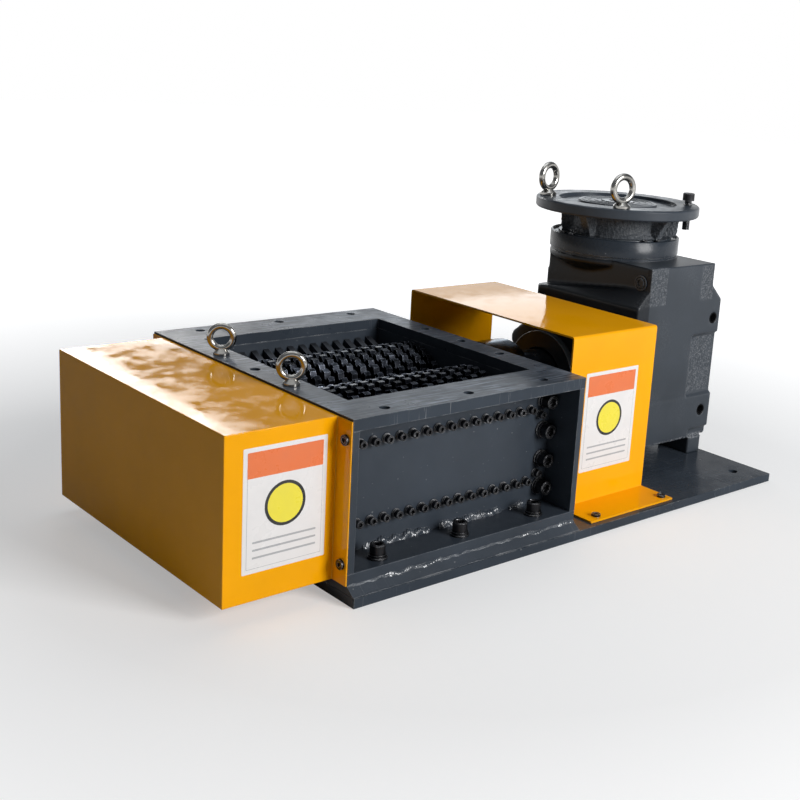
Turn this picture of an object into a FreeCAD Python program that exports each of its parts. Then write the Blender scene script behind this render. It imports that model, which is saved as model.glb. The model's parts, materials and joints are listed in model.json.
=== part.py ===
import FreeCAD, Part
import math
import os
import re
import Sketcher

# Double shaft shredder on a base plate, with its gearbox and coupling guard.
# Millimetres. X runs along the shafts from the gear cover to the gearbox, Y from
# front to back, Z up. The origin is at the middle of the footprint, on the floor.

doc = FreeCAD.newDocument("shredder")
sheet = doc.addObject("Spreadsheet::Sheet", "Sizes")
Vec = FreeCAD.Vector

# Driving sizes
SIZES = {
    # base plate and the bevelled sole on it
    "base_thick": 12, "base_ledge": 2, "base_hole": 14, "hole_from_end": 42,
    "hole_from_edge": 37, "sole_thick": 9, "sole_flare": 12,
    # cutting chamber
    "chamber_height": 190.5, "flange_thick": 14, "end_plate_thick": 9, "bearing_thick": 28,
    "side_wall_thick": 12.5, "wall_recess": 50,
    "top_hole": 13, "top_hole_edge": 20, "top_hole_end": 16,
    "long_hole_from_end": 55.5, "short_hole_from_side": 143.5,
    # rotors and the combs between their knives
    "knife_tip": 80.5, "tooth_depth": 5, "knife_teeth": 36, "knife_thick": 8.6,
    "knife_play": 0.8, "back_knives": 15, "tooth_lead": 3.33, "tooth_land": 0.42,
    "tip_play": 6.5, "wall_gap": 9, "end_gap": 4.1, "spacer_radius": 52,
    "hex_flats": 56, "hex_play": 0.1, "journal": 50, "journal_play": 0.25, "face_play": 0.3,
    "finger_play": 5, "finger_nose": 30, "finger_margin": 10.25, "finger_slope": 0.42,
    # timing gears under the left cover
    "gear_teeth": 40, "gear_width": 36, "gear_from_wall": 34, "gear_backlash": 0.5,
    "stub_past_gear": 16,
    # left cover, folded from sheet
    "cover_depth": 138, "cover_ear": 26, "cover_drop": 2.5, "cover_sheet": 2,
    # guard over the coupling
    "guard_gap": 29, "guard_end_gap": 29, "guard_edge": 9.5, "guard_tall": 236,
    "guard_sheet": 2.5, "guard_foot": 57.5,
    # shaft bearings outside the right end plate, and the coupling
    "cap_radius": 60, "cap_thick": 14, "cap_play": 2,
    "coupling_room": 222, "coupling_radius": 66, "coupling_start": 82, "coupling_half": 36,
    "coupling_flange": 18, "coupling_bevel": 4, "sleeve_radius": 42,
    # gearbox casting
    "gearbox_from_end": 91, "gearbox_front": 106.5,
    "gearbox_foot": 26, "foot_width": 30, "foot_depth": 60, "foot_inset": 14,
    "body_tall": 217, "shoulder_tall": 22, "shoulder_step": 24, "neck_tall": 34,
    "corner_cut": 38, "pad_recess": 5, "upper_pad": 52, "lower_pad": 54, "lower_recess": 14,
    "boss_radius": 70, "boss_thick": 12, "boss_step": 4,
    # input stage, standing on the gearbox, and its motor flange
    "input_shift": 32, "stage_radius": 99, "stage_tall": 29, "collar_step": 2, "collar_tall": 9,
    "lantern_tall": 33.6, "lantern_ledge": 13, "lantern_flare": 4, "lantern_wall": 16,
    "window_width": 56, "window_sill": 3, "window_turn": 11.5, "flange_overhang": 26, "motor_flange_thick": 16,
    "flange_rim": 35, "spigot_depth": 5, "bolt_edge": 17.5, "bolt_hole": 14,
    "hub_radius": 24, "hub_bore": 14, "hub_below": 1, "seal_radius": 60, "seal_thick": 3,
    # lifting eyes and the loose flange screw
    "eye_ring": 21, "eye_wire": 6, "eye_height": 53, "eye_collar": 15, "eye_collar_thick": 6,
    "eye_shank": 6, "eye_shank_long": 13,
    "screw_head": 9, "screw_head_tall": 12, "screw_proud": 8, "screw_below": 10,
}
for row, (name, value) in enumerate(SIZES.items(), start=1):
    sheet.set("A%d" % row, str(value))
    sheet.setAlias("A%d" % row, name)
doc.recompute()

# Places worked out from the driving sizes, each written once
datum = doc.addObject("App::FeaturePython", "Datum")
PLACES = {
    "knife_pitch": "2*(knife_thick + knife_play)",
    "rotor_spacing": "knife_tip + spacer_radius + tip_play",
    "opening_length": "(back_knives - 1)*knife_pitch + knife_thick + 2*end_gap",
    "opening_width": "rotor_spacing + 2*(knife_tip + wall_gap)",
    "chamber_length": "opening_length + 2*(end_plate_thick + bearing_thick)",
    "chamber_width": "opening_width + 2*(side_wall_thick + wall_recess)",
    "collar_radius": "stage_radius - collar_step",
    "gearbox_width": "2*collar_radius",
    "flange_radius": "stage_radius + flange_overhang",
    "spigot_radius": "flange_radius - flange_rim",
    "base_length": "chamber_length + coupling_room + gearbox_width/2 + gearbox_from_end",
    "base_width": "chamber_width + 2*(sole_flare + base_ledge)",
    "base_left": "cover_depth - (cover_depth + base_length - gearbox_from_end + flange_radius)/2",
    "base_right": "base_left + base_length",
    "chamber_right": "base_left + chamber_length",
    "chamber_middle": "base_left + chamber_length/2",
    "chamber_bottom": "base_thick + sole_thick",
    "chamber_top": "chamber_bottom + chamber_height",
    "wall_bottom": "chamber_bottom + flange_thick",
    "wall_height": "chamber_height - 2*flange_thick",
    "rotor_height": "chamber_bottom + chamber_height/2",
    "long_pitch": "chamber_length/2 - long_hole_from_end",
    "short_pitch": "chamber_width/2 - short_hole_from_side",
    "cover_width": "chamber_width - 2*cover_ear",
    "cover_height": "chamber_height - cover_drop",
    "guard_length": "coupling_room - guard_gap - guard_end_gap",
    "guard_width": "base_width - 2*(guard_edge + guard_foot)",
    "guard_top": "base_thick + guard_tall",
    "gearbox_middle": "base_right - gearbox_from_end",
    "gearbox_left": "gearbox_middle - gearbox_width/2",
    "coupling_left": "chamber_right + coupling_start",
    "input_offset": "rotor_spacing/2 - input_shift",
    "gearbox_back": "input_offset + stage_radius",
    "gearbox_bottom": "base_thick + gearbox_foot",
    "gearbox_shoulder": "gearbox_bottom + body_tall",
    "gearbox_neck": "gearbox_shoulder + shoulder_tall",
    "gearbox_top": "gearbox_neck + neck_tall",
    "neck_width": "gearbox_width - 2*shoulder_step",
    "pad_lower": "gearbox_bottom + lower_recess",
    "pad_middle": "pad_lower + lower_pad",
    "pad_upper": "gearbox_shoulder - upper_pad",
    "stage_top": "gearbox_top + stage_tall",
    "flange_bottom": "stage_top + lantern_tall",
    "flange_top": "flange_bottom + motor_flange_thick",
    "lantern_foot": "stage_radius - lantern_ledge",
    "lantern_head": "lantern_foot + lantern_flare",
    "lantern_bore": "lantern_foot - lantern_wall",
    "bolt_circle": "2*(flange_radius - bolt_edge)",
}


def formula(text):
    """Turn plain size and place names into references to the sheet and the datum."""
    def reference(match):
        word = match.group(0)
        if word in SIZES:
            return "Sizes." + word
        if word in PLACES:
            return "Datum." + word
        return word
    return re.sub(r"[a-z][a-z_]*", reference, text)


for name in PLACES:
    datum.addProperty("App::PropertyFloat", name)
for name, text in PLACES.items():
    datum.setExpression(name, formula(text))
doc.recompute()


def size(name):
    """The number behind a size or a place name."""
    if name in SIZES:
        return float(sheet.get(name))
    return float(getattr(datum, name))


def tie(thing, **texts):
    """Bind properties of one object, named with __ for a dot, to formulas."""
    for prop, text in texts.items():
        thing.setExpression(prop.replace("__", "."), formula(str(text)))
    return thing


def put(thing, x, y, z):
    """Bind the place of one object."""
    return tie(thing, Placement__Base__x=x, Placement__Base__y=y, Placement__Base__z=z)


def box(label, x, y, z, length, width, height):
    """A block from its lowest corner."""
    block = doc.addObject("Part::Box", label)
    tie(block, Length=length, Width=width, Height=height)
    return put(block, x, y, z)


TURN = {"x": FreeCAD.Rotation(Vec(0, 1, 0), 90), "y": FreeCAD.Rotation(Vec(1, 0, 0), -90),
        "z": FreeCAD.Rotation()}


def rod(label, axis, x, y, z, radius, length):
    """A round bar that runs from its place along +X, +Y or +Z."""
    bar = doc.addObject("Part::Cylinder", label)
    bar.Placement = FreeCAD.Placement(Vec(), TURN[axis])
    tie(bar, Radius=radius, Height=length)
    return put(bar, x, y, z)


def fuse(label, *things):
    """Things made as one piece."""
    whole = doc.addObject("Part::MultiFuse", label)
    whole.Shapes = list(things)
    return whole


def cut(label, whole, *tools):
    """One piece with the tools taken out of it."""
    tool = tools[0] if len(tools) == 1 else fuse(label + "_cutters", *tools)
    rest = doc.addObject("Part::Cut", label)
    rest.Base = whole
    rest.Tool = tool
    return rest


def within(label, whole, outline_piece):
    """What one piece has inside another."""
    rest = doc.addObject("Part::Common", label)
    rest.Base = whole
    rest.Tool = outline_piece
    return rest


def plane(body, role):
    """One of the three origin planes of a body."""
    return [part for part in body.Origin.OriginFeatures if part.Role == role][0]


def outline(body, role, points):
    """A closed sketch of straight lines whose corners are bound to formulas."""
    sketch = body.newObject("Sketcher::SketchObject", body.Name + "_outline")
    sketch.AttachmentSupport = (plane(body, role), [""])
    sketch.MapMode = "FlatFace"
    count = len(points)
    ring = [Vec(10 * math.cos(2 * math.pi * k / count), 10 * math.sin(2 * math.pi * k / count), 0)
            for k in range(count)]
    for k in range(count):
        sketch.addGeometry(Part.LineSegment(ring[k], ring[(k + 1) % count]), False)
    for k in range(count):
        sketch.addConstraint(Sketcher.Constraint("Coincident", k, 2, (k + 1) % count, 1))
    for k, (across, up) in enumerate(points):
        for kind, text in (("DistanceX", across), ("DistanceY", up)):
            index = sketch.addConstraint(Sketcher.Constraint(kind, -1, 1, k, 1, 1.0))
            sketch.setExpression("Constraints[%d]" % index, formula(str(text)))
    return sketch


def prism(label, role, points, length):
    """A bar of constant section, padded from an origin plane."""
    body = doc.addObject("PartDesign::Body", label)
    sketch = outline(body, role, points)
    pad = body.newObject("PartDesign::Pad", label + "_pad")
    pad.Profile = sketch
    tie(pad, Length=length)
    body.Tip = pad
    return body


def turned(label, role, line, points):
    """A piece turned on a lathe, from half of its section."""
    body = doc.addObject("PartDesign::Body", label)
    sketch = outline(body, role, points)
    lathe = body.newObject("PartDesign::Revolution", label + "_turning")
    lathe.Profile = sketch
    lathe.ReferenceAxis = (sketch, [line])
    lathe.Angle = 360
    body.Tip = lathe
    return body


def shaped(label, shape):
    """A piece whose outline is a formula, worked out from the sizes in the sheet."""
    piece = doc.addObject("Part::Feature", label)
    piece.Shape = shape
    piece.Placement = FreeCAD.Placement()
    return piece


nodes = []


def keep(*pieces):
    """Name finished pieces as sub-parts."""
    for piece in pieces:
        nodes.append(piece)


# Base plate, with a window under the rotors and two bolt holes past the gearbox
def window(label, bottom, height):
    """The straight way that the shredded pieces fall through."""
    return box(label, "chamber_middle - opening_length/2", "-opening_width/2", bottom,
               "opening_length", "opening_width", height)


plate = box("plate_blank", "base_left", "-base_width/2", 0, "base_length", "base_width", "base_thick")
base_holes = [rod("base_hole_%s" % side, "z", "base_right - hole_from_end",
                  "%s(base_width/2 - hole_from_edge)" % sign, -1, "base_hole/2", "base_thick + 2")
              for side, sign in (("front", "-"), ("back", ""))]
keep(cut("base_plate", plate, window("plate_window", -1, "base_thick + 2"), *base_holes))

# Sole: a frame with sloping long edges, welded between the base plate and the chamber
sole = prism("sole_blank", "YZ_Plane",
             [("-chamber_width/2 - sole_flare", 0), ("chamber_width/2 + sole_flare", 0),
              ("chamber_width/2", "sole_thick"), ("-chamber_width/2", "sole_thick")],
             "chamber_length")
put(sole, "base_left", 0, "base_thick")
keep(cut("sole_frame", sole, window("sole_window", "base_thick - 1", "sole_thick + 2")))

# Chamber frames: two flame-cut rings, the upper one drilled for a hopper
bottom_ring = box("bottom_ring", "base_left", "-chamber_width/2", "chamber_bottom",
                  "chamber_length", "chamber_width", "flange_thick")
keep(cut("bottom_frame", bottom_ring,
         window("bottom_window", "chamber_bottom - 1", "flange_thick + 2")))
top_ring = box("top_ring", "base_left", "-chamber_width/2", "chamber_top - flange_thick",
               "chamber_length", "chamber_width", "flange_thick")
top_holes = []
for sign in ("-", ""):
    for step in (-1, 0, 1):
        places = ("chamber_middle + %d*long_pitch" % step,
                  "%s(chamber_width/2 - top_hole_edge)" % sign)
        top_holes.append(rod("top_hole_%d" % len(top_holes), "z", places[0], places[1],
                             "chamber_top - flange_thick - 1", "top_hole/2", "flange_thick + 2"))
for sign in ("-", "+"):
    for step in (-1, 0, 1):
        places = ("chamber_middle %s (chamber_length/2 - top_hole_end)" % sign,
                  "%d*short_pitch" % step)
        top_holes.append(rod("top_hole_%d" % len(top_holes), "z", places[0], places[1],
                             "chamber_top - flange_thick - 1", "top_hole/2", "flange_thick + 2"))
keep(cut("top_frame", top_ring,
         window("top_window", "chamber_top - flange_thick - 1", "flange_thick + 2"), *top_holes))

# End walls: an outer plate the full width of the chamber and a thick bearing plate inside it
DRIVE = "rotor_spacing/2"
IDLE = "-rotor_spacing/2"


def shaft_bores(label, x, length):
    """Two bores on the rotor axes."""
    return [rod("%s_%s_bore" % (label, side), "x", x, y, "rotor_height",
                "journal/2 + journal_play", length) for side, y in (("drive", DRIVE), ("idle", IDLE))]


for side, plate_x, bearing_x in (
        ("left", "base_left", "base_left + end_plate_thick"),
        ("right", "chamber_right - end_plate_thick",
         "chamber_right - end_plate_thick - bearing_thick")):
    outer = box("outer_plate_%s" % side, plate_x, "-chamber_width/2", "wall_bottom",
                "end_plate_thick", "chamber_width", "wall_height")
    keep(cut("end_plate_%s" % side, outer,
             *shaft_bores("end_plate_" + side, plate_x + " - 1", "end_plate_thick + 2")))
    inner = box("inner_plate_%s" % side, bearing_x, "-opening_width/2", "wall_bottom",
                "bearing_thick", "opening_width", "wall_height")
    keep(cut("bearing_plate_%s" % side, inner,
             *shaft_bores("bearing_plate_" + side, bearing_x + " - 1", "bearing_thick + 2")))

# Side walls, set back behind the rims, that carry the combs
for side, wall_y in (("front", "-opening_width/2 - side_wall_thick"), ("back", "opening_width/2")):
    keep(box("side_wall_%s" % side, "base_left + end_plate_thick", wall_y, "wall_bottom",
             "chamber_length - 2*end_plate_thick", "side_wall_thick", "wall_height"))


# Combs: fingers that stand between the knives and scrape the spacers clean
def rows(count):
    """Places along the shafts of so many like things, about the chamber's middle."""
    pitch = size("knife_pitch")
    return [size("chamber_middle") + pitch * (k - (count - 1) / 2) for k in range(count)]


def comb(count, side):
    """Separate fingers as thick as a knife, each a wedge from the wall to a hollow
    round the spacer."""
    wall = size("opening_width") / 2
    axis = size("rotor_spacing") / 2
    half = size("wall_height") / 2 - size("finger_margin")
    nose = axis + size("finger_nose")
    low = half - (wall - nose) * size("finger_slope")
    level = size("rotor_height")
    hollow = size("spacer_radius") + size("finger_play")
    fingers = []
    for middle in rows(count):
        start = middle - size("knife_thick") / 2
        corners = [Vec(start, side * wall, level - half), Vec(start, side * wall, level + half),
                   Vec(start, side * nose, level + low), Vec(start, side * nose, level - low)]
        finger = Part.Face(Part.makePolygon(corners + corners[:1])).extrude(
            Vec(size("knife_thick"), 0, 0))
        way = Part.makeCylinder(hollow, size("knife_thick") + 2,
                                Vec(start - 1, side * axis, level), Vec(1, 0, 0))
        fingers.append(finger.cut(way).Solids[0])
    return Part.makeCompound(fingers)


back_knives = int(size("back_knives"))
front_knives = back_knives - 1
keep(shaped("comb_front", comb(back_knives, -1)), shaped("comb_back", comb(front_knives, 1)))


# Rotors: toothed knives and round spacers threaded in turn on a hexagonal shaft
def hexagon(x, y, flats, length):
    """A hexagonal bar along X."""
    corners = [Vec(x, y + flats / math.sqrt(3) * math.cos(math.pi * k / 3),
                   size("rotor_height") + flats / math.sqrt(3) * math.sin(math.pi * k / 3))
               for k in range(7)]
    return Part.Face(Part.makePolygon(corners)).extrude(Vec(length, 0, 0))


def knife(x, y, phase, hand):
    """A disc with saw teeth: each has a flat land, a steep front and a sloping back."""
    teeth = int(size("knife_teeth"))
    step = 360.0 / teeth
    tip = size("knife_tip")
    root = tip - size("tooth_depth")
    corners = []
    for k in range(teeth):
        start = phase + k * step
        for part, radius in ((0, tip), (size("tooth_land"), tip), (0.78, root), (0.97, root)):
            angle = math.radians(start + hand * part * step)
            corners.append(Vec(x, y + radius * math.cos(angle),
                               size("rotor_height") + radius * math.sin(angle)))
        if hand < 0:
            corners[-4:] = corners[-4:][::-1]
    disc = Part.Face(Part.makePolygon(corners + corners[:1])).extrude(Vec(size("knife_thick"), 0, 0))
    hole = hexagon(x - 1, y, size("hex_flats") + 2 * size("hex_play"), size("knife_thick") + 2)
    return disc.cut(hole).Solids[0]


def knives(count, y, hand):
    """One rotor's knives; the teeth step round from knife to knife in a helix."""
    half = size("knife_thick") / 2
    return Part.makeCompound([knife(x - half, y, hand * k * size("tooth_lead") + 90, hand)
                              for k, x in enumerate(rows(count))])


def spacers(count, y):
    """One rotor's spacers, with two that fill the ends of the shaft to its shoulders."""
    half = size("knife_thick") / 2
    ends = size("opening_length") / 2 - size("face_play")
    middle = size("chamber_middle")
    edges = [middle - ends]
    for x in rows(count):
        edges += [x - half, x + half]
    edges.append(middle + ends)
    rings = []
    for start, end in zip(edges[0::2], edges[1::2]):
        ring = Part.makeCylinder(size("spacer_radius"), end - start,
                                 Vec(start, y, size("rotor_height")), Vec(1, 0, 0))
        hole = hexagon(start - 1, y, size("hex_flats") + 2 * size("hex_play"), end - start + 2)
        rings.append(ring.cut(hole).Solids[0])
    return Part.makeCompound(rings)


def shaft(y, right):
    """A hexagon between the end walls, turned down to round journals outside it."""
    ends = size("opening_length") / 2 - size("face_play")
    middle = size("chamber_middle")
    left = size("base_left") - size("gear_from_wall") - size("gear_width") - size("stub_past_gear")
    core = hexagon(middle - ends, y, size("hex_flats"), 2 * ends)
    journal = Part.makeCylinder(size("journal") / 2, right - left,
                                Vec(left, y, size("rotor_height")), Vec(1, 0, 0))
    return core.fuse(journal).removeSplitter().Solids[0]


axis_drive = size("rotor_spacing") / 2
coupling_left = size("coupling_left")
keep(shaped("drive_shaft", shaft(axis_drive, coupling_left + size("coupling_half"))),
     shaped("drive_knives", knives(back_knives, axis_drive, 1)),
     shaped("drive_spacers", spacers(back_knives, axis_drive)),
     shaped("idle_shaft", shaft(-axis_drive, size("chamber_right") + size("cap_thick") / 2)),
     shaped("idle_knives", knives(front_knives, -axis_drive, -1)),
     shaped("idle_spacers", spacers(front_knives, -axis_drive)))


# Timing gears: equal spur gears that hold the two rotors in step
def gear(y, phase):
    """A spur gear with straight-flanked teeth, bored for the journal."""
    teeth = int(size("gear_teeth"))
    pitch_radius = size("rotor_spacing") / 2
    module = 2 * pitch_radius / teeth
    slope = math.tan(math.radians(20))
    quarter = math.pi * module / 4 - size("gear_backlash") / 2
    x = size("base_left") - size("gear_from_wall") - size("gear_width")
    level = size("rotor_height")
    corners = []
    for k in range(teeth):
        centre = math.radians(phase) + 2 * math.pi * k / teeth
        for side, height in ((-1, -1.2), (-1, 0.75), (1, 0.75), (1, -1.2)):
            radius = pitch_radius + height * module
            half = quarter - height * module * slope
            angle = centre + side * half / radius
            corners.append(Vec(x, y + radius * math.cos(angle), level + radius * math.sin(angle)))
    blank = Part.Face(Part.makePolygon(corners + corners[:1])).extrude(Vec(size("gear_width"), 0, 0))
    hole = Part.makeCylinder(size("journal") / 2, size("gear_width") + 2, Vec(x - 1, y, level),
                             Vec(1, 0, 0))
    return blank.cut(hole).Solids[0]


half_tooth = 180.0 / size("gear_teeth")
keep(shaped("drive_gear", gear(axis_drive, 180)), shaped("idle_gear", gear(-axis_drive, half_tooth)))

# Gear cover: a sheet box, open to the chamber, with a screwed flange down each side
cover_left = "base_left - cover_depth"
skin = box("cover_skin", cover_left, "-cover_width/2", "chamber_bottom",
           "cover_depth", "cover_width", "cover_height")
inside = box("cover_inside", cover_left + " + cover_sheet", "-cover_width/2 + cover_sheet",
             "chamber_bottom + cover_sheet", "cover_depth", "cover_width - 2*cover_sheet",
             "cover_height - 2*cover_sheet")
ears = [box("cover_ear_%s" % side, "base_left - cover_sheet", y, "chamber_bottom", "cover_sheet",
            "cover_ear + cover_sheet", "cover_height")
        for side, y in (("front", "-chamber_width/2"), ("back", "cover_width/2 - cover_sheet"))]
keep(fuse("gear_cover", cut("cover_shell", skin, inside), *ears))

# Coupling guard: one folded sheet, open at both ends, screwed down by its feet
guard = prism("coupling_guard", "YZ_Plane",
              [("-guard_width/2 - guard_foot", "base_thick"),
               ("-guard_width/2 + guard_sheet", "base_thick"),
               ("-guard_width/2 + guard_sheet", "guard_top - guard_sheet"),
               ("guard_width/2 - guard_sheet", "guard_top - guard_sheet"),
               ("guard_width/2 - guard_sheet", "base_thick"),
               ("guard_width/2 + guard_foot", "base_thick"),
               ("guard_width/2 + guard_foot", "base_thick + guard_sheet"),
               ("guard_width/2", "base_thick + guard_sheet"),
               ("guard_width/2", "guard_top"), ("-guard_width/2", "guard_top"),
               ("-guard_width/2", "base_thick + guard_sheet"),
               ("-guard_width/2 - guard_foot", "base_thick + guard_sheet")],
              "guard_length")
tie(guard, Placement__Base__x="chamber_right + guard_gap")
keep(guard)

# Bearing caps on the right end plate: a ring round the drive shaft, a blind one on the idle shaft
drive_cap = rod("drive_cap_blank", "x", "chamber_right", DRIVE, "rotor_height",
                "cap_radius", "cap_thick")
drive_cap_bore = rod("drive_cap_bore", "x", "chamber_right - 1", DRIVE, "rotor_height",
                     "journal/2 + cap_play", "cap_thick + 2")
idle_cap = rod("idle_cap_blank", "x", "chamber_right", IDLE, "rotor_height",
               "cap_radius", "cap_thick")
idle_cap_bore = rod("idle_cap_bore", "x", "chamber_right - 1", IDLE, "rotor_height",
                    "journal/2 + cap_play", "cap_thick/2 + 3")
keep(cut("drive_bearing_cap", drive_cap, drive_cap_bore),
     cut("idle_bearing_cap", idle_cap, idle_cap_bore))

# Coupling: a half on the rotor shaft and a flanged half whose sleeve goes into the gearbox
shaft_half = turned("coupling_shaft_half", "XY_Plane", "H_Axis",
                    [(0, "journal/2"), (0, "coupling_radius - coupling_bevel"),
                     ("coupling_bevel", "coupling_radius"),
                     ("coupling_half", "coupling_radius"), ("coupling_half", "journal/2")])
put(shaft_half, "coupling_left", DRIVE, "rotor_height")
SLEEVE_LENGTH = "gearbox_left - coupling_left - coupling_half - face_play"
gearbox_half = turned("coupling_gearbox_half", "XY_Plane", "H_Axis",
                      [(0, 0), (0, "coupling_radius"), ("coupling_flange", "coupling_radius"),
                       ("coupling_flange", "sleeve_radius"),
                       (SLEEVE_LENGTH, "sleeve_radius"), (SLEEVE_LENGTH, 0)])
put(gearbox_half, "coupling_left + coupling_half", DRIVE, "rotor_height")
keep(shaft_half, gearbox_half)

# Gearbox casting: a wide lower body with cut rear corners, sloping shoulders, a neck that is
# round behind, a collar for the input stage, a boss for the output shaft and four feet
INPUT = ("gearbox_middle", "input_offset")
half_width = "gearbox_width/2"
section = prism("casting_section", "XZ_Plane",
                [("-gearbox_width/2", "gearbox_bottom"), (half_width, "gearbox_bottom"),
                 (half_width, "gearbox_shoulder"), ("neck_width/2", "gearbox_neck"),
                 ("-neck_width/2", "gearbox_neck"), ("-gearbox_width/2", "gearbox_shoulder")],
                "gearbox_front + gearbox_back")
put(section, "gearbox_middle", "gearbox_back", 0)
plan = prism("casting_plan", "XY_Plane",
             [("-gearbox_width/2", "-gearbox_front"), (half_width, "-gearbox_front"),
              (half_width, "gearbox_back - corner_cut"),
              ("gearbox_width/2 - corner_cut", "gearbox_back"),
              ("corner_cut - gearbox_width/2", "gearbox_back"),
              ("-gearbox_width/2", "gearbox_back - corner_cut")], "gearbox_neck + 1")
put(plan, "gearbox_middle", 0, 0)
neck_front = box("neck_front", "gearbox_middle - neck_width/2", "-gearbox_front", "gearbox_neck - 1",
                 "neck_width", "gearbox_front + input_offset", "neck_tall + 1")
neck_round = rod("neck_round", "z", *INPUT, "gearbox_neck - 1", "collar_radius", "neck_tall + 1")
neck_block = box("neck_block", "gearbox_middle - neck_width/2", "input_offset - 1",
                 "gearbox_neck - 1", "neck_width", "collar_radius + 2", "neck_tall + 1")
collar = rod("stage_collar", "z", *INPUT, "gearbox_top - collar_tall", "collar_radius", "collar_tall")
boss = rod("output_boss", "x", "gearbox_left", DRIVE, "rotor_height", "boss_radius - boss_step",
           "corner_cut")
feet = []
for side, inset, y in (("front", "foot_inset", "-gearbox_front"),
                       ("back", "corner_cut", "gearbox_back - foot_depth")):
    for end, x in (("left", "gearbox_left + " + inset),
                   ("right", "gearbox_left + gearbox_width - foot_width - " + inset)):
        feet.append(box("foot_%s_%s" % (end, side), x, y, "base_thick",
                        "foot_width", "foot_depth", "gearbox_foot + 1"))
recesses = []
for side, y in (("front", "-gearbox_front - 1"), ("back", "gearbox_back - pad_recess")):
    recesses.append(box("recess_middle_%s" % side, "gearbox_left - 1", y, "pad_middle",
                        "gearbox_width + 2", "pad_recess + 1", "pad_upper - pad_middle"))
    recesses.append(box("recess_lower_%s" % side, "gearbox_left - 1", y, "gearbox_bottom - 1",
                        "gearbox_width + 2", "pad_recess + 1", "lower_recess + 1"))
body_casting = cut("casting_recessed", within("casting_body", section, plan), *recesses)
neck_back = within("neck_back", neck_round, neck_block)
keep(fuse("gearbox_housing", body_casting, neck_front, neck_back, collar, boss, *feet))

# Round cover on the shaft face of the gearbox
output_ring = rod("output_ring_blank", "x", "gearbox_left - boss_thick", DRIVE, "rotor_height",
                  "boss_radius", "boss_thick")
output_way = rod("output_ring_bore", "x", "gearbox_left - boss_thick - 1", DRIVE, "rotor_height",
                 "sleeve_radius + cap_play", "boss_thick + 2")
keep(cut("gearbox_output_ring", output_ring, output_way))

# Input stage: a round foot, a cast lantern with four windows round the input hub, and the
# motor flange, on one upright axis
stage = rod("input_stage", "z", *INPUT, "gearbox_top", "stage_radius", "stage_tall")
keep(stage)
wall = turned("lantern_wall_blank", "XZ_Plane", "V_Axis",
              [("lantern_bore", 0), ("lantern_foot", 0), ("lantern_head", "lantern_tall"),
               ("lantern_bore", "lantern_tall")])
put(wall, *INPUT, "stage_top")
windows = []
for number in range(2):
    turn = math.radians(90 * number + size("window_turn"))
    opening = doc.addObject("Part::Box", "lantern_window_%d" % number)
    tie(opening, Length="2*stage_radius", Width="window_width", Height="lantern_tall")
    opening.Placement = FreeCAD.Placement(Vec(), FreeCAD.Rotation(Vec(0, 0, 1), math.degrees(turn)))
    put(opening, "gearbox_middle - %.6f*stage_radius + %.6f*window_width/2"
        % (math.cos(turn), math.sin(turn)),
        "input_offset - %.6f*stage_radius - %.6f*window_width/2" % (math.sin(turn), math.cos(turn)),
        "stage_top + window_sill")
    windows.append(opening)
keep(cut("input_lantern", wall, *windows))

flange = turned("flange_blank", "XZ_Plane", "V_Axis",
                [("hub_radius + cap_play", 0), ("flange_radius - 2", 0), ("flange_radius", 2),
                 ("flange_radius", "motor_flange_thick - 2"),
                 ("flange_radius - 2", "motor_flange_thick"),
                 ("spigot_radius", "motor_flange_thick"),
                 ("spigot_radius", "motor_flange_thick - spigot_depth"),
                 ("hub_radius + cap_play", "motor_flange_thick - spigot_depth")])
put(flange, *INPUT, "flange_bottom")
bolt_holes = []
DIAGONALS = ((1, 1), (-1, 1), (-1, -1), (1, -1))
for number, (right, back) in enumerate(DIAGONALS):
    bolt_holes.append(rod("bolt_hole_%d" % number, "z",
                          "gearbox_middle + %d*bolt_circle/2*sqrt(0.5)" % right,
                          "input_offset + %d*bolt_circle/2*sqrt(0.5)" % back,
                          "flange_bottom - 1", "bolt_hole/2", "motor_flange_thick + 2"))
keep(cut("motor_flange", flange, *bolt_holes))
seal = turned("input_seal", "XZ_Plane", "V_Axis",
              [("hub_radius + cap_play", 0), ("seal_radius", 0), ("seal_radius", "seal_thick"),
               ("hub_radius + cap_play", "seal_thick")])
put(seal, *INPUT, "flange_top - spigot_depth")
HUB_LENGTH = "lantern_tall + motor_flange_thick - hub_below"
hub = turned("input_hub", "XZ_Plane", "V_Axis",
             [("hub_bore", 0), ("hub_radius", 0), ("hub_radius", HUB_LENGTH),
              ("hub_bore", HUB_LENGTH)])
put(hub, *INPUT, "stage_top")
keep(seal, hub)


# Lifting eyes: a forged ring on a collar, with its shank in a flange hole
def eyebolt(label, x, y, seat):
    """One lifting eye standing on a flange face, its ring square to the shafts' line."""
    ring = doc.addObject("Part::Torus", label + "_ring")
    ring.Placement = FreeCAD.Placement(Vec(), FreeCAD.Rotation(Vec(0, 1, 0), 90))
    tie(ring, Radius1="eye_ring", Radius2="eye_wire")
    put(ring, x, y, "%s + eye_height - eye_ring - eye_wire" % seat)
    collar = rod(label + "_collar", "z", x, y, seat, "eye_collar", "eye_collar_thick")
    neck = rod(label + "_neck", "z", x, y, seat, "eye_wire + 3", "eye_height - 2*eye_ring - eye_wire")
    shank = rod(label + "_shank", "z", x, y, "%s - eye_shank_long" % seat, "eye_shank",
                "eye_shank_long + 1")
    return fuse(label, ring, collar, neck, shank)


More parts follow.
